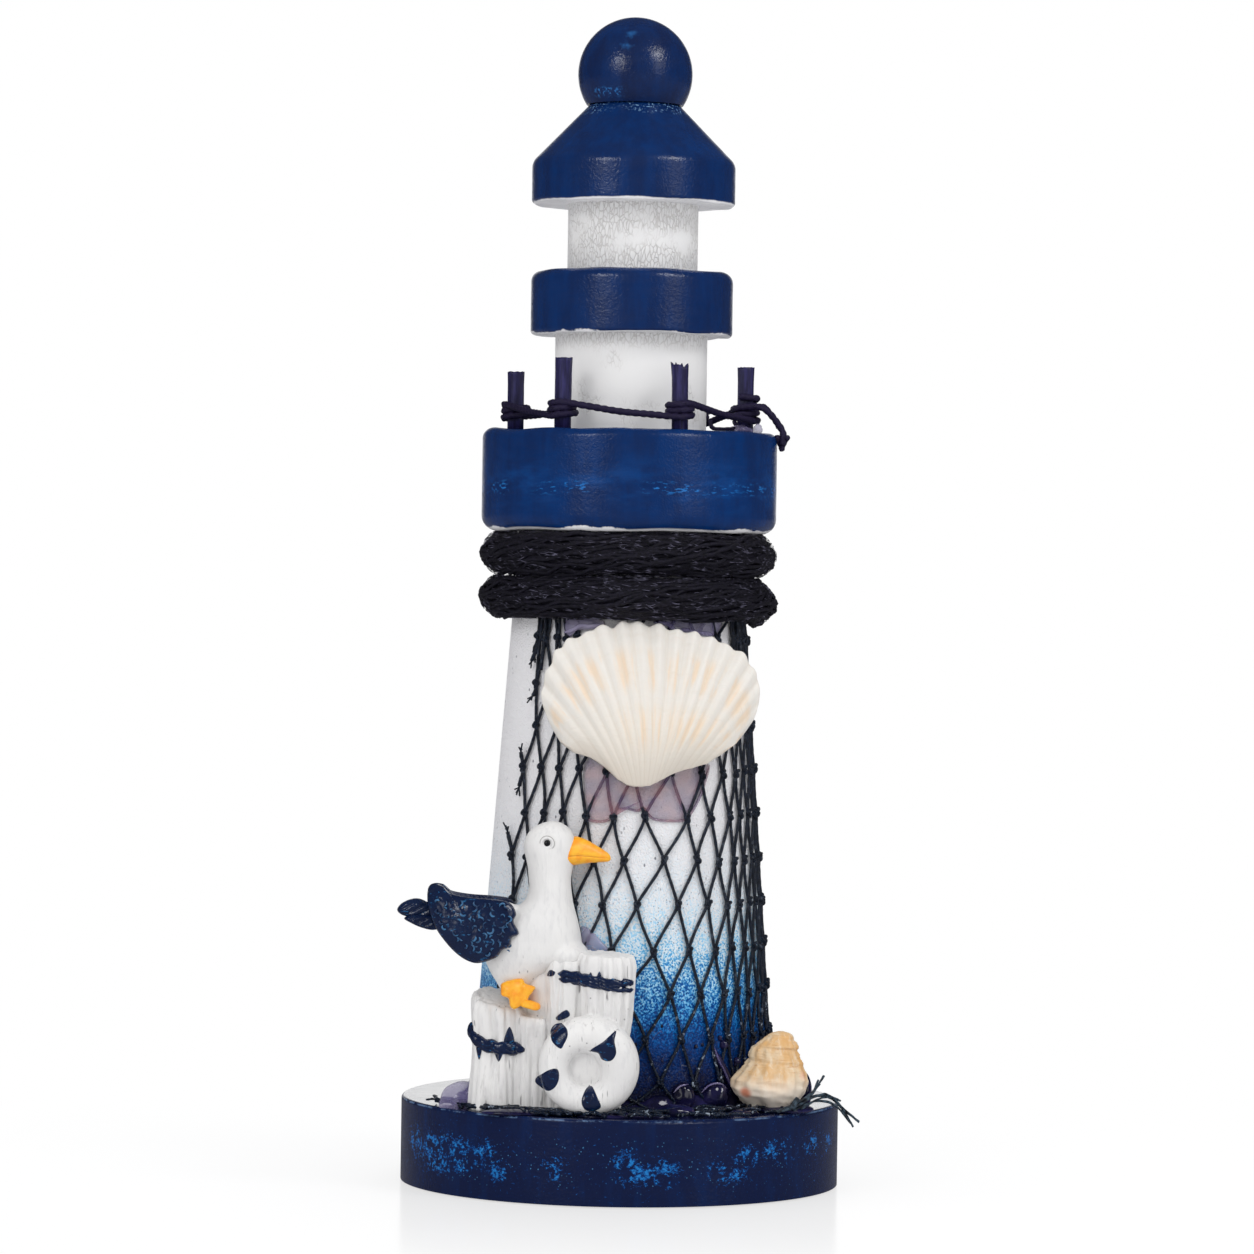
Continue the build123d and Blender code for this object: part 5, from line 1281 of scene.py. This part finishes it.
def ring_front(x, z):
    """How far forward the life ring is, carried round to its rim."""
    angle = math.atan2(z - ring_centre[2], x - ring_centre[0])
    tube = ring_thick + ring_lopsided * math.cos(angle - 0.7)
    inward = math.hypot(x - ring_centre[0], z - ring_centre[2]) - (ring_outer - tube)
    return ring_centre[1] - 0.95 * math.sqrt(max(0.0, tube * tube - inward * inward))


def cast_front(x, z, otherwise=-37.5):
    """How far forward the casting's skin is, seen from the front."""
    hits = [skin.ray_cast(Vector((x, -90.0, z)), Vector((0, 1, 0)))[0]
            for skin in (bird_skin, piling_skin)]
    fronts = [hit.y for hit in hits if hit is not None and hit.y < otherwise + 6]
    return min(fronts) if fronts else otherwise


def closed_outline(corners, count):
    """Points evenly placed round a smooth closed line through the corners."""
    corners = [Vector(corner) for corner in corners]
    runs, spots = 12, []
    for index, start in enumerate(corners):
        end, after = corners[(index + 1) % len(corners)], corners[(index + 2) % len(corners)]
        spots += [bend_through(corners[index - 1], start, end, after, step / runs)
                  for step in range(runs)]
    return [spots[int(index * len(spots) / count)] for index in range(count)]


def raised_patch(outline, front, thick, depth, relief=None, count=96, rings=14):
    """A raised, rounded patch over an outline in X and Z, lying on a front and let into it."""
    edge = closed_outline(outline, count)
    middle = sum(edge, Vector((0, 0))) / count
    rim_sink = 0.12
    front_rings, back_rings = [], []
    for ring in range(1, rings + 1):
        share = ring / rings
        crown = math.sqrt(max(0.0, 1 - share ** 5))
        fronts, backs = [], []
        for spot in edge:
            x, z = middle + (spot - middle) * share
            rest = front(x, z) + rim_sink
            extra = relief(x, z) * (1 - share ** 6) if relief else 0.0
            fronts.append(Vector((x, rest - (thick + rim_sink) * crown - extra, z)))
            backs.append(Vector((x, rest + depth * (1 - share ** 5), z)))
        front_rings.append(fronts)
        back_rings.append(backs)
    return stack_rings(front_rings + back_rings[::-1][1:])


# The gull's navy parts: wings with raised curls, ribbed tail feathers, the lashings, and the bands of
# the life ring, all brushed on thick in gloss over the white.
plumage_finish = two_tone("plumage_navy", (0.2, 3.0, 0.6), None, (10, 18, 44), (18, 36, 70),
                          Specular_IOR_Level=0.55, Roughness=0.14)
# Cyan-blue streaks on the navy: worn, dry-brushed paint and also painted highlights on the gloss.
plumage_wear_and_highlight = plumage_finish.patchy(0.61, 0.69, 1.0, 4.0, 0.65, (0.5, 1.0, 1.4), 0.2)
plumage_finish.cover(plumage_finish.times(plumage_wear_and_highlight, 0.65), shade(40, 112, 166))
plumage_finish.relief(plumage_finish.noise(1.2, 3.0, 0.5), 0.12)
# The raised curls are painted paler blue than the wing, standing for glints on them: painted highlights.
curl_highlight_finish = two_tone("plumage_curl_highlights", (0.5,), (0.35, 0.65), (18, 42, 78), (58, 110, 154),
                       Specular_IOR_Level=0.55, Roughness=0.28)
wing_outline = [(-40.7, 64.2), (-39.4, 65.3), (-37.6, 65.0), (-36.2, 63.7), (-32.1, 62.9), (-26.0, 62.5),
                (-23.4, 61.8), (-22.1, 59.7), (-22.6, 58.0), (-21.5, 55.6), (-23.0, 54.6), (-23.3, 52.9),
                (-24.9, 52.0), (-26.2, 50.4), (-29.7, 49.2), (-32.2, 49.7), (-34.6, 51.3), (-36.8, 53.6),
                (-38.8, 56.4), (-40.4, 60.2)]


def wing_front(x, z):
    bulge = 1 - ((x + 27.0) / 17.5) ** 2 - ((z - 56.5) / 11.5) ** 2
    return gull_middle - 1.6 - 5.0 * math.sqrt(max(0.0, bulge))


def wing_swell(x, z):
    lobe = 1.1 * math.exp(-((x + 39.0) / 1.9) ** 2 - ((z - 63.6) / 2.2) ** 2)
    broad, fine = noise.noise((x * 0.5, z * 0.5, 5.0)), noise.noise((x * 1.3, z * 1.3, 8.0))
    return lobe + 0.22 * broad + 0.12 * fine


def mirrored(points, faces):
    """The same form on the gull's far side."""
    across = [Vector((spot[0], 2 * gull_middle - spot[1], spot[2])) for spot in points]
    return across, [face[::-1] for face in faces]


wing_thick, curl_count = 1.3, 70
near_wing = raised_patch(wing_outline, wing_front, wing_thick, 3.0, wing_swell, 180, 34)
curl_random = random.Random(8)
curl_spots, curl_skins = [], []
while len(curl_spots) < curl_count:
    spot = Vector((curl_random.uniform(-38.5, -23.5), curl_random.uniform(51.0, 62.0)))
    aside = spot.x + 29.0
    inside = spot.y < 62.0 and (spot.y - 49.8) > 0.95 * abs(aside) - 1.5 - 0.6 * (aside > 0.0) * aside
    if inside and all((spot - other).length > 1.0 for other in curl_spots):
        curl_spots.append(spot)
        begin, sweep = curl_random.uniform(0, math.tau), curl_random.uniform(1.4, 3.6)
        size = curl_random.uniform(0.32, 0.7)
        path = []
        for t in np.linspace(0, 1, 9):
            x = spot.x + size * math.cos(begin + sweep * t)
            z = spot.y + size * math.sin(begin + sweep * t)
            path.append(Vector((x, wing_front(x, z) - wing_thick - wing_swell(x, z) + 0.02, z)))
        curl_skins.append(lay_tube(path, curl_random.uniform(0.13, 0.22), 8, taper=0.5))
far_curls = [mirrored(*skin) for skin in curl_skins]
make("gull_wings", *join_skins([near_wing, mirrored(*near_wing)]), plumage_finish, "cast_resin")
make("gull_wing_curls", *join_skins(curl_skins + far_curls), curl_highlight_finish, "cast_resin")


def tail_plane(x, z):
    return gull_middle + 0.3


def tail_ribs(x, z):
    return 0.28 * abs(math.sin(2.1 * (z - 60 - 0.55 * (x + 43)))) - 0.1


def lower_plane(x, z):
    return gull_middle - 0.5


upper_tail = [(-47.1, 59.5), (-46.4, 60.9), (-44.5, 61.9), (-42.6, 62.1), (-40.4, 61.2), (-37.5, 59.6),
              (-39.5, 57.9), (-42.5, 58.0), (-45.6, 58.4)]
lower_tail = [(-45.6, 58.0), (-43.6, 58.9), (-41.0, 58.9), (-38.0, 58.4), (-37.4, 56.4), (-39.4, 55.6),
              (-41.8, 56.0), (-44.2, 57.0)]
tail_skins = [raised_patch(upper_tail, tail_plane, 1.5, 3.4, tail_ribs, 120, 20),
              raised_patch(lower_tail, lower_plane, 1.4, 3.4, tail_ribs, 120, 20)]
make("gull_tail", *join_skins(tail_skins), plumage_finish, "cast_resin")


def lash(run, radius, plies=2, lay=1.15):
    """A cast lashing that follows the pilings' fronts through the (X, Z) places given."""
    flat = smooth_path([Vector((x, 0, z)) for x, z in run], 0.45)
    path = [Vector((spot.x, cast_front(spot.x, spot.z, -33.5) + 0.1, spot.z)) for spot in flat]
    for easing in range(3):
        eased = [(before + here * 2 + after) / 4 for before, here, after in zip(path, path[1:], path[2:])]
        path = [path[0]] + eased + [path[-1]]
    return lay_tube(path, radius, 14, plies, lay, 0.3, taper=1.6)


lash_skins = [lash([(-31.2, 36.2), (-31.0, 34.4), (-29.4, 32.6), (-25.6, 31.7), (-22.3, 31.5),
                    (-19.9, 31.1)], 1.3),
              lash([(-30.9, 33.4), (-28.0, 31.4), (-24.0, 30.9), (-20.8, 30.7)], 1.1),
              lash([(-13.2, 47.3), (-10.5, 47.2), (-6.0, 46.5), (-1.5, 45.8), (2.4, 45.8)], 0.95),
              lash([(-13.0, 46.2), (-8.0, 46.0), (-3.0, 45.2), (-0.2, 45.0)], 0.85),
              lash([(-11.0, 45.8), (-6.0, 45.2), (-1.0, 44.4), (2.4, 44.2)], 0.65)]
for drip in ([(-23.2, 36.0), (-22.1, 32.6), (-24.4, 32.6)], [(-29.5, 28.6), (-28.9, 31.4), (-30.2, 31.4)],
             [(-25.4, 28.4), (-24.4, 30.9), (-26.4, 30.9)], [(-4.6, 48.2), (-4.0, 46.2), (-5.3, 46.4)],
             [(-6.4, 48.0), (-6.0, 46.6), (-7.0, 46.8)],
             [(-15.0, 48.0), (-13.8, 47.7), (-14.2, 46.8), (-15.6, 46.6)]):
    lash_skins.append(raised_patch(drip, cast_front, 0.3, 1.0, None, 30, 6))
for band in ([(-14.6, 35.6), (-13.7, 37.0), (-12.2, 37.3), (-11.1, 36.4), (-10.9, 35.0), (-11.6, 33.3),
              (-12.4, 32.2), (-14.2, 33.6)],
             [(-6.4, 32.0), (-3.7, 34.0), (-1.0, 36.3), (-1.2, 34.2), (-0.8, 31.6), (-1.9, 29.9),
              (-3.8, 30.0), (-4.7, 31.4)],
             [(-17.6, 25.5), (-15.2, 27.7), (-13.0, 28.2), (-12.5, 26.4), (-13.2, 24.4), (-14.8, 23.3),
              (-16.5, 24.0)],
             [(-7.0, 24.2), (-5.7, 24.5), (-4.4, 22.0), (-3.8, 20.3), (-5.2, 19.4), (-7.2, 19.6),
              (-8.0, 21.6)]):
    lash_skins.append(raised_patch(band, ring_front, 0.2, 1.2, None, 70, 12))
lash_skins.append(raised_patch([(-13.6, 38.2), (-11.4, 39.9), (-10.6, 38.6), (-12.9, 37.5)], cast_front,
                               0.3, 1.2, None, 40, 8))
make("gull_lashings", *join_skins(lash_skins), plumage_finish, "cast_resin")


# The gull's bill and foot, cast with it and brushed in yellow-orange enamel, and its eyes: a black
# pupil in a raised white rim with a fine grey line of wash left round it.
bill_finish = two_tone("bill_enamel", (0.55, 4.0, 0.6), (0.35, 0.7), (248, 182, 46), (243, 152, 26),
                       Specular_IOR_Level=0.5, Roughness=0.34)
bill_finish.relief(bill_finish.noise(0.8, 3.0, 0.6), 0.12)
bill_line, bill_sides = 71.5, 28
bill_stations = [(-12.7, 2.6, 1.4, 3.2), (-12.0, 3.5, 1.9, 3.4), (-11.0, 3.9, 2.1, 3.2),
                 (-9.8, 3.9, 2.0, 2.8), (-8.4, 3.5, 1.7, 2.4), (-7.0, 3.0, 1.4, 2.0),
                 (-5.4, 2.2, 1.1, 1.6), (-4.2, 1.6, 0.9, 1.25), (-3.3, 1.05, 0.75, 0.9),
                 (-2.85, 0.6, 0.5, 0.55), (-2.65, 0.15, 0.2, 0.2)]
bill_skins = []
for upper in (True, False):
    rings = []
    for x, above, below, half in bill_stations:
        dip = bill_line - 0.25 * max(0.0, (x + 6.0) / 3.3) ** 2 + 0.18 * math.sin((x + 12) * 0.6)
        ring = []
        for side in range(bill_sides):
            angle = math.tau * side / bill_sides
            y, z = half * math.cos(angle), math.sin(angle)
            if upper:
                z = dip + 0.05 + (above * z if z > 0 else 0.12 * z)
            else:
                z = dip - 0.05 + (below * z if z < 0 else 0.10 * z)
            ring.append(Vector((x, gull_middle + y, z)))
        rings.append(ring)
    bill_skins.append(stack_rings(rings))


def foot_plane(x, z):
    return -36.7 - 0.16 * (45.5 - z)


def foot_lump(x, z):
    return 0.35 * noise.noise((x * 0.5, z * 0.5, 9.0))


for toes in ([(-25.1, 43.8), (-24.9, 45.0), (-22.7, 45.8), (-20.7, 46.0), (-19.9, 45.0), (-18.0, 44.4),
              (-18.3, 43.5), (-19.2, 42.3), (-19.6, 41.2), (-21.0, 40.3), (-22.2, 39.7), (-23.1, 40.3),
              (-23.5, 41.9), (-24.9, 42.5)],
             [(-20.6, 41.8), (-18.9, 41.6), (-17.1, 41.0), (-16.8, 40.0), (-17.7, 39.5), (-19.5, 39.9),
              (-21.0, 40.5)]):
    bill_skins.append(raised_patch(toes, foot_plane, 1.1, 2.6, foot_lump, 120, 18))
make("gull_bill_and_foot", *join_skins(bill_skins), bill_finish, "cast_resin")
eye_x, eye_z = -15.9, 74.3
eye_front = cast_front(eye_x, eye_z)
rim_skins, line_skins, pupil_skins = [], [], []
for side in (1, -1):
    eye_y = eye_front if side == 1 else 2 * gull_middle - eye_front
    rim_skins.append(hoop((eye_x, eye_y + 0.08 * side, eye_z), 12 * side, -8 * side, 1.5, 0.32, 1.0))
    line_skins.append(hoop((eye_x, eye_y + 0.12 * side, eye_z), 12 * side, -8 * side, 1.62, 0.16, 1.0))
    pupil_skins.append(egg((eye_x, eye_y + 0.10 * side, eye_z), (0.7, 0.44, 0.7), 0.0, 24, 14))
make("gull_eye_rims", *join_skins(rim_skins), resin_finish, "cast_resin")
line_finish = two_tone("eye_line", (2.0,), None, (150, 147, 146), (176, 174, 172), Roughness=0.4)
make("gull_eye_lines", *join_skins(line_skins), line_finish, "cast_resin")
pupil_finish = two_tone("eye_black", (2.0,), None, (8, 8, 10), (18, 18, 22), Roughness=0.15,
                        Specular_IOR_Level=0.6)
make("gull_pupils", *join_skins(pupil_skins), pupil_finish, "cast_resin")


# Glue: hot glue squeezed out round what it holds. Clear and mauve over the white tower under the
# scallop, and dark, wet-looking lumps and folds round the tower's foot, the whelk and the pilings.
film_finish = two_tone("glue_film", (0.25, 3.0, 0.5), (0.35, 0.65), (172, 128, 138), (116, 96, 130),
                       Roughness=0.1, Specular_IOR_Level=0.5, Alpha=0.42)
film_finish.relief(film_finish.cloud, 0.3)
coat("scallop_glue", film_finish)
wet_finish = two_tone("glue_over_navy", (0.18, 3.0, 0.6), (0.35, 0.68), (10, 11, 36), (32, 30, 70),
                      Roughness=0.07, Specular_IOR_Level=0.5)
wet_finish.relief(wet_finish.noise(0.35, 2.0, 0.5), 0.07)
pale_finish = two_tone("glue_lump", (0.07, 2.0, 0.5), (0.35, 0.65), (190, 183, 212), (112, 104, 154),
                       Roughness=0.06, Specular_IOR_Level=0.5, Alpha=0.5)


def tower_front(x, z):
    return -math.sqrt(max(1.0, tower_radius(z) ** 2 - x * x))


def blob(centre, half, seed, lump=0.22):
    """A lump of glue: a flattened drop pulled out of round."""
    points, faces = egg(centre, half, 0.0, 40, 24)
    middle = Vector(centre)
    drawn = []
    for spot in points:
        way = Vector(spot) - middle
        pull = 1 + lump * noise.noise(way.normalized() * 1.6 + Vector((seed, 0, 0)))
        drawn.append(middle + way * pull)
    return drawn, faces


film_edge = [(-8.6, 84.0), (-8.2, 80.8), (-7.4, 78.9), (-5.0, 78.5), (-3.0, 79.1), (-1.6, 80.9),
             (0.4, 81.4), (2.6, 80.9), (4.2, 81.4), (5.2, 80.0), (6.6, 79.1), (9.6, 78.8), (12.6, 79.0),
             (14.2, 80.6), (15.9, 83.8), (17.0, 87.2), (17.9, 90.5)]
film_under_shell = [(14.5, 92.8), (-5.2, 92.5), (-8.6, 90.7)]
film_skins = [raised_patch(film_edge + film_under_shell, tower_front, 1.15, 0.3, None, 220, 14)]
film_bead = [Vector((x, tower_front(x, z) - 0.45, z)) for x, z in film_edge]
film_skins.append(lay_tube(smooth_path(film_bead, 0.5), 0.3, 8, taper=2.0))
make("scallop_glue_film", *join_skins(film_skins), film_finish, "hot_glue")
skirt_steps, skirt = 240, []


def bump(azimuth, middle, spread):
    return math.exp(-((azimuth - middle) / spread) ** 2)


for step in range(skirt_steps + 1):
    azimuth = 360.0 * step / skirt_steps
    angle = math.radians(azimuth)
    rise = 2.2 + 2.2 * abs(wave(angle, 2.6, 3.0)) + 1.2 * max(0.0, wave(angle, 7.0, 8.0))
    rise += 3.6 * bump(azimuth, 44.0, 10.0) + 2.0 * bump(azimuth, 24.0, 8.0)
    run_out = 1.6 + 1.5 * abs(wave(angle, 3.2, 13.0)) + 1.6 * bump(azimuth, 36.0, 8.0)
    skirt.append([around(azimuth, tower_radius(tower_foot + rise) - 0.4, tower_foot + rise),
                  around(azimuth, tower_radius(tower_foot + rise * 0.85) + 0.45,
                         tower_foot + rise * 0.85),
                  around(azimuth, tower_foot_radius + 0.25 + run_out * 0.25, tower_foot + rise * 0.5),
                  around(azimuth, tower_foot_radius + 0.2 + run_out * 0.6, tower_foot + rise * 0.24),
                  around(azimuth, tower_foot_radius + 0.2 + run_out, 18.25),
                  around(azimuth, tower_foot_radius + run_out, 17.95),
                  around(azimuth, tower_foot_radius - 0.5, 17.95)])
wet_skins = [stack_rings(skirt, closed=False)]
for centre, half, seed in (((13.2, -29.6, 21.2), (2.6, 2.0, 2.9), 1.0),
                           ((19.9, -26.4, 21.0), (2.9, 2.4, 3.1), 5.0),
                           ((11.5, -36.2, 18.6), (4.4, 3.0, 1.8), 9.0),
                           ((39.0, -21.6, 21.8), (1.5, 2.0, 4.2), 14.0),
                           ((26.0, -33.2, 18.3), (3.2, 2.4, 0.9), 19.0),
                           ((34.0, -24.0, 18.4), (6.6, 6.4, 1.3), 23.0),
                           ((-20.0, -38.4, 18.3), (9.0, 3.4, 0.9), 27.0),
                           ((0.5, -42.2, 18.2), (9.0, 2.4, 0.8), 33.0)):
    wet_skins.append(blob(centre, half, seed, 0.12))
for centre, half, seed in (((21.7, -22.6, 31.6), (1.1, 0.9, 1.1), 71.0),
                           ((24.6, -19.9, 27.8), (0.9, 0.8, 0.9), 75.0),
                           ((20.9, -23.2, 33.0), (0.5, 0.5, 0.6), 77.0)):
    wet_skins.append(blob(centre, half, seed, 0.1))
fold = [on_tower(38.8, 30.8, 0.1), on_tower(40.6, 28.4, 0.45), on_tower(43.1, 26.1, 0.6),
        on_tower(46.0, 22.8, 0.7), on_tower(49.9, 20.2, 0.9), on_tower(53.0, 18.7, 1.4)]
wet_skins.append(lay_tube(smooth_path(fold, 0.5), 0.8, 14, taper=3.0))
drop_random = random.Random(3)
for drop in range(12):
    azimuth, height = drop_random.uniform(2, 62), drop_random.uniform(20, 36)
    size = drop_random.uniform(0.2, 0.42)
    wet_skins.append(blob(tuple(on_tower(azimuth, height, 0.05)), (size, size, size * 1.2), drop, 0.3))
make("foot_glue", *join_skins(wet_skins), wet_finish, "hot_glue", ["whelk_glue"])
pale_skins = [blob((-32.4, -26.2, 18.4), (5.6, 3.6, 5.2), 41.0, 0.1),
              raised_patch([(-9.0, 55.9), (-7.5, 56.4), (-4.6, 53.9), (-2.7, 51.2), (-8.5, 51.2)],
                           tower_front, 1.0, 0.6, None, 60, 8),
              blob((23.6, -4.6, 161.5), (2.7, 2.2, 1.2), 47.0),
              blob((27.4, -4.4, 161.9), (1.0, 0.9, 1.2), 52.0)]
for outline, thick in (([(-13.7, 120.2), (-12.8, 116.6), (-11.1, 118.3), (-8.0, 118.6), (-4.5, 119.4),
                         (-6.0, 121.3), (-11.6, 121.3)], 1.4),
                       ([(7.2, 121.3), (9.0, 119.7), (12.0, 119.2), (14.9, 118.3), (17.9, 117.3),
                         (20.1, 119.2), (18.7, 121.5)], 1.3)):
    pale_skins.append(raised_patch(outline, tower_front, thick, 0.5, None, 90, 10))
for run in ([(-13.3, 118.0), (-11.4, 118.6), (-9.6, 119.6), (-7.6, 119.4), (-5.4, 120.0)],
            [(5.6, 120.4), (8.4, 120.2), (10.2, 118.8), (12.7, 118.9), (15.3, 118.3), (18.2, 118.1)]):
    bead = [Vector((x, tower_front(x, z) - 1.5, z)) for x, z in run]
    pale_skins.append(lay_tube(smooth_path(bead, 0.4), 0.5, 10, taper=2.0))
# Thin pale strings of glue along the fold and over the tops of the domes, laid where highlights fall:
# painted highlights.
glue_highlight_strings = [[on_tower(37.9, 31.2, 0.9), on_tower(39.4, 28.6, 1.15), on_tower(42.0, 26.1, 1.3),
            on_tower(45.0, 22.8, 1.45), on_tower(49.2, 20.0, 1.7)],
           [around(31.0, 33.2, 22.0), around(33.4, 34.0, 23.5), around(37.0, 34.6, 23.9),
            around(41.0, 34.4, 22.6)],
           [around(19.6, 33.4, 22.2), around(21.6, 34.2, 23.6), around(24.6, 34.4, 24.0)]]
for run in glue_highlight_strings:
    pale_skins.append(lay_tube(smooth_path(run, 0.4), 0.2, 8, taper=1.6))
make("glue_lumps", *join_skins(pale_skins), pale_finish, "hot_glue")


# Battery case and door: black moulded plastic with a fine spark-eroded grain. The case is screwed into
# the base's pocket, and the door turns on two pins at one end of it.
moulded_finish = two_tone("moulded_black", (3.2, 3.0, 0.7), None, (26, 26, 28), (40, 40, 43),
                          Specular_IOR_Level=0.4)
moulded_finish.put(Roughness=moulded_finish.share(moulded_finish.cloud, 0.3, 0.7, 0.44, 0.62))
moulded_finish.relief(moulded_finish.cloud, 0.06)
for node in ("battery_case", "battery_door"):
    coat(node, moulded_finish)


# Cells: two plain AAA cells in black jackets with a copper-coloured band, held between plated contacts
# and springs.
jacket_finish = two_tone("cell_jacket", (0.9, 4.0, 0.7), None, (28, 28, 32), (48, 48, 54),
                         Roughness=0.28, Specular_IOR_Level=0.5, Metallic=0.35)
from_band = jacket_finish.calc("ABSOLUTE", jacket_finish.calc("SUBTRACT", jacket_finish.across, 8.0))
jacket_finish.cover(jacket_finish.share(from_band, 4.6, 4.4), shade(178, 116, 62))
for node in ("battery_cell_1", "battery_cell_2"):
    coat(node, jacket_finish)
plated_finish = two_tone("zinc_plate", (1.4, 4.0, 0.65), None, (196, 198, 202), (150, 152, 156),
                         Metallic=1.0)
plated_finish.put(Roughness=plated_finish.share(plated_finish.cloud, 0.3, 0.7, 0.22, 0.4))
for node in ("contact_bridge", "contact_positive", "contact_negative", "contact_springs", "case_screws",
             "tower_screws", "stem_tube", "led_leads"):
    coat(node, plated_finish)


# Switch: a small slide switch of black moulded plastic, screwed behind the case's wall. Its knob stands
# through a slot in the wall and slides along it.
switch_finish = two_tone("switch_black", (2.4, 3.0, 0.6), None, (34, 34, 36), (50, 50, 53),
                         Roughness=0.5, Specular_IOR_Level=0.4)
for node in ("switch_body", "switch_knob"):
    coat(node, switch_finish)


# Lamp: one warm-white lamp with an epoxy lens, in a white moulded holder pressed into the lantern. Two
# sleeved wires run from it down the stem to the case.
coat("led_holder", two_tone("holder_white", (0.8,), None, (232, 231, 226), (220, 219, 214),
                            Roughness=0.5))
coat("led_lamp", two_tone("lamp_lens", (0.6,), None, (252, 240, 196), (246, 226, 160),
                          Roughness=0.08, Transmission_Weight=0.6, IOR=1.5))
for node, dark, pale in (("wire_red", (150, 26, 26), (176, 40, 36)),
                         ("wire_black", (22, 22, 24), (40, 40, 42))):
    coat(node, two_tone(f"{node}_sleeve", (0.9,), None, dark, pale, Roughness=0.45))
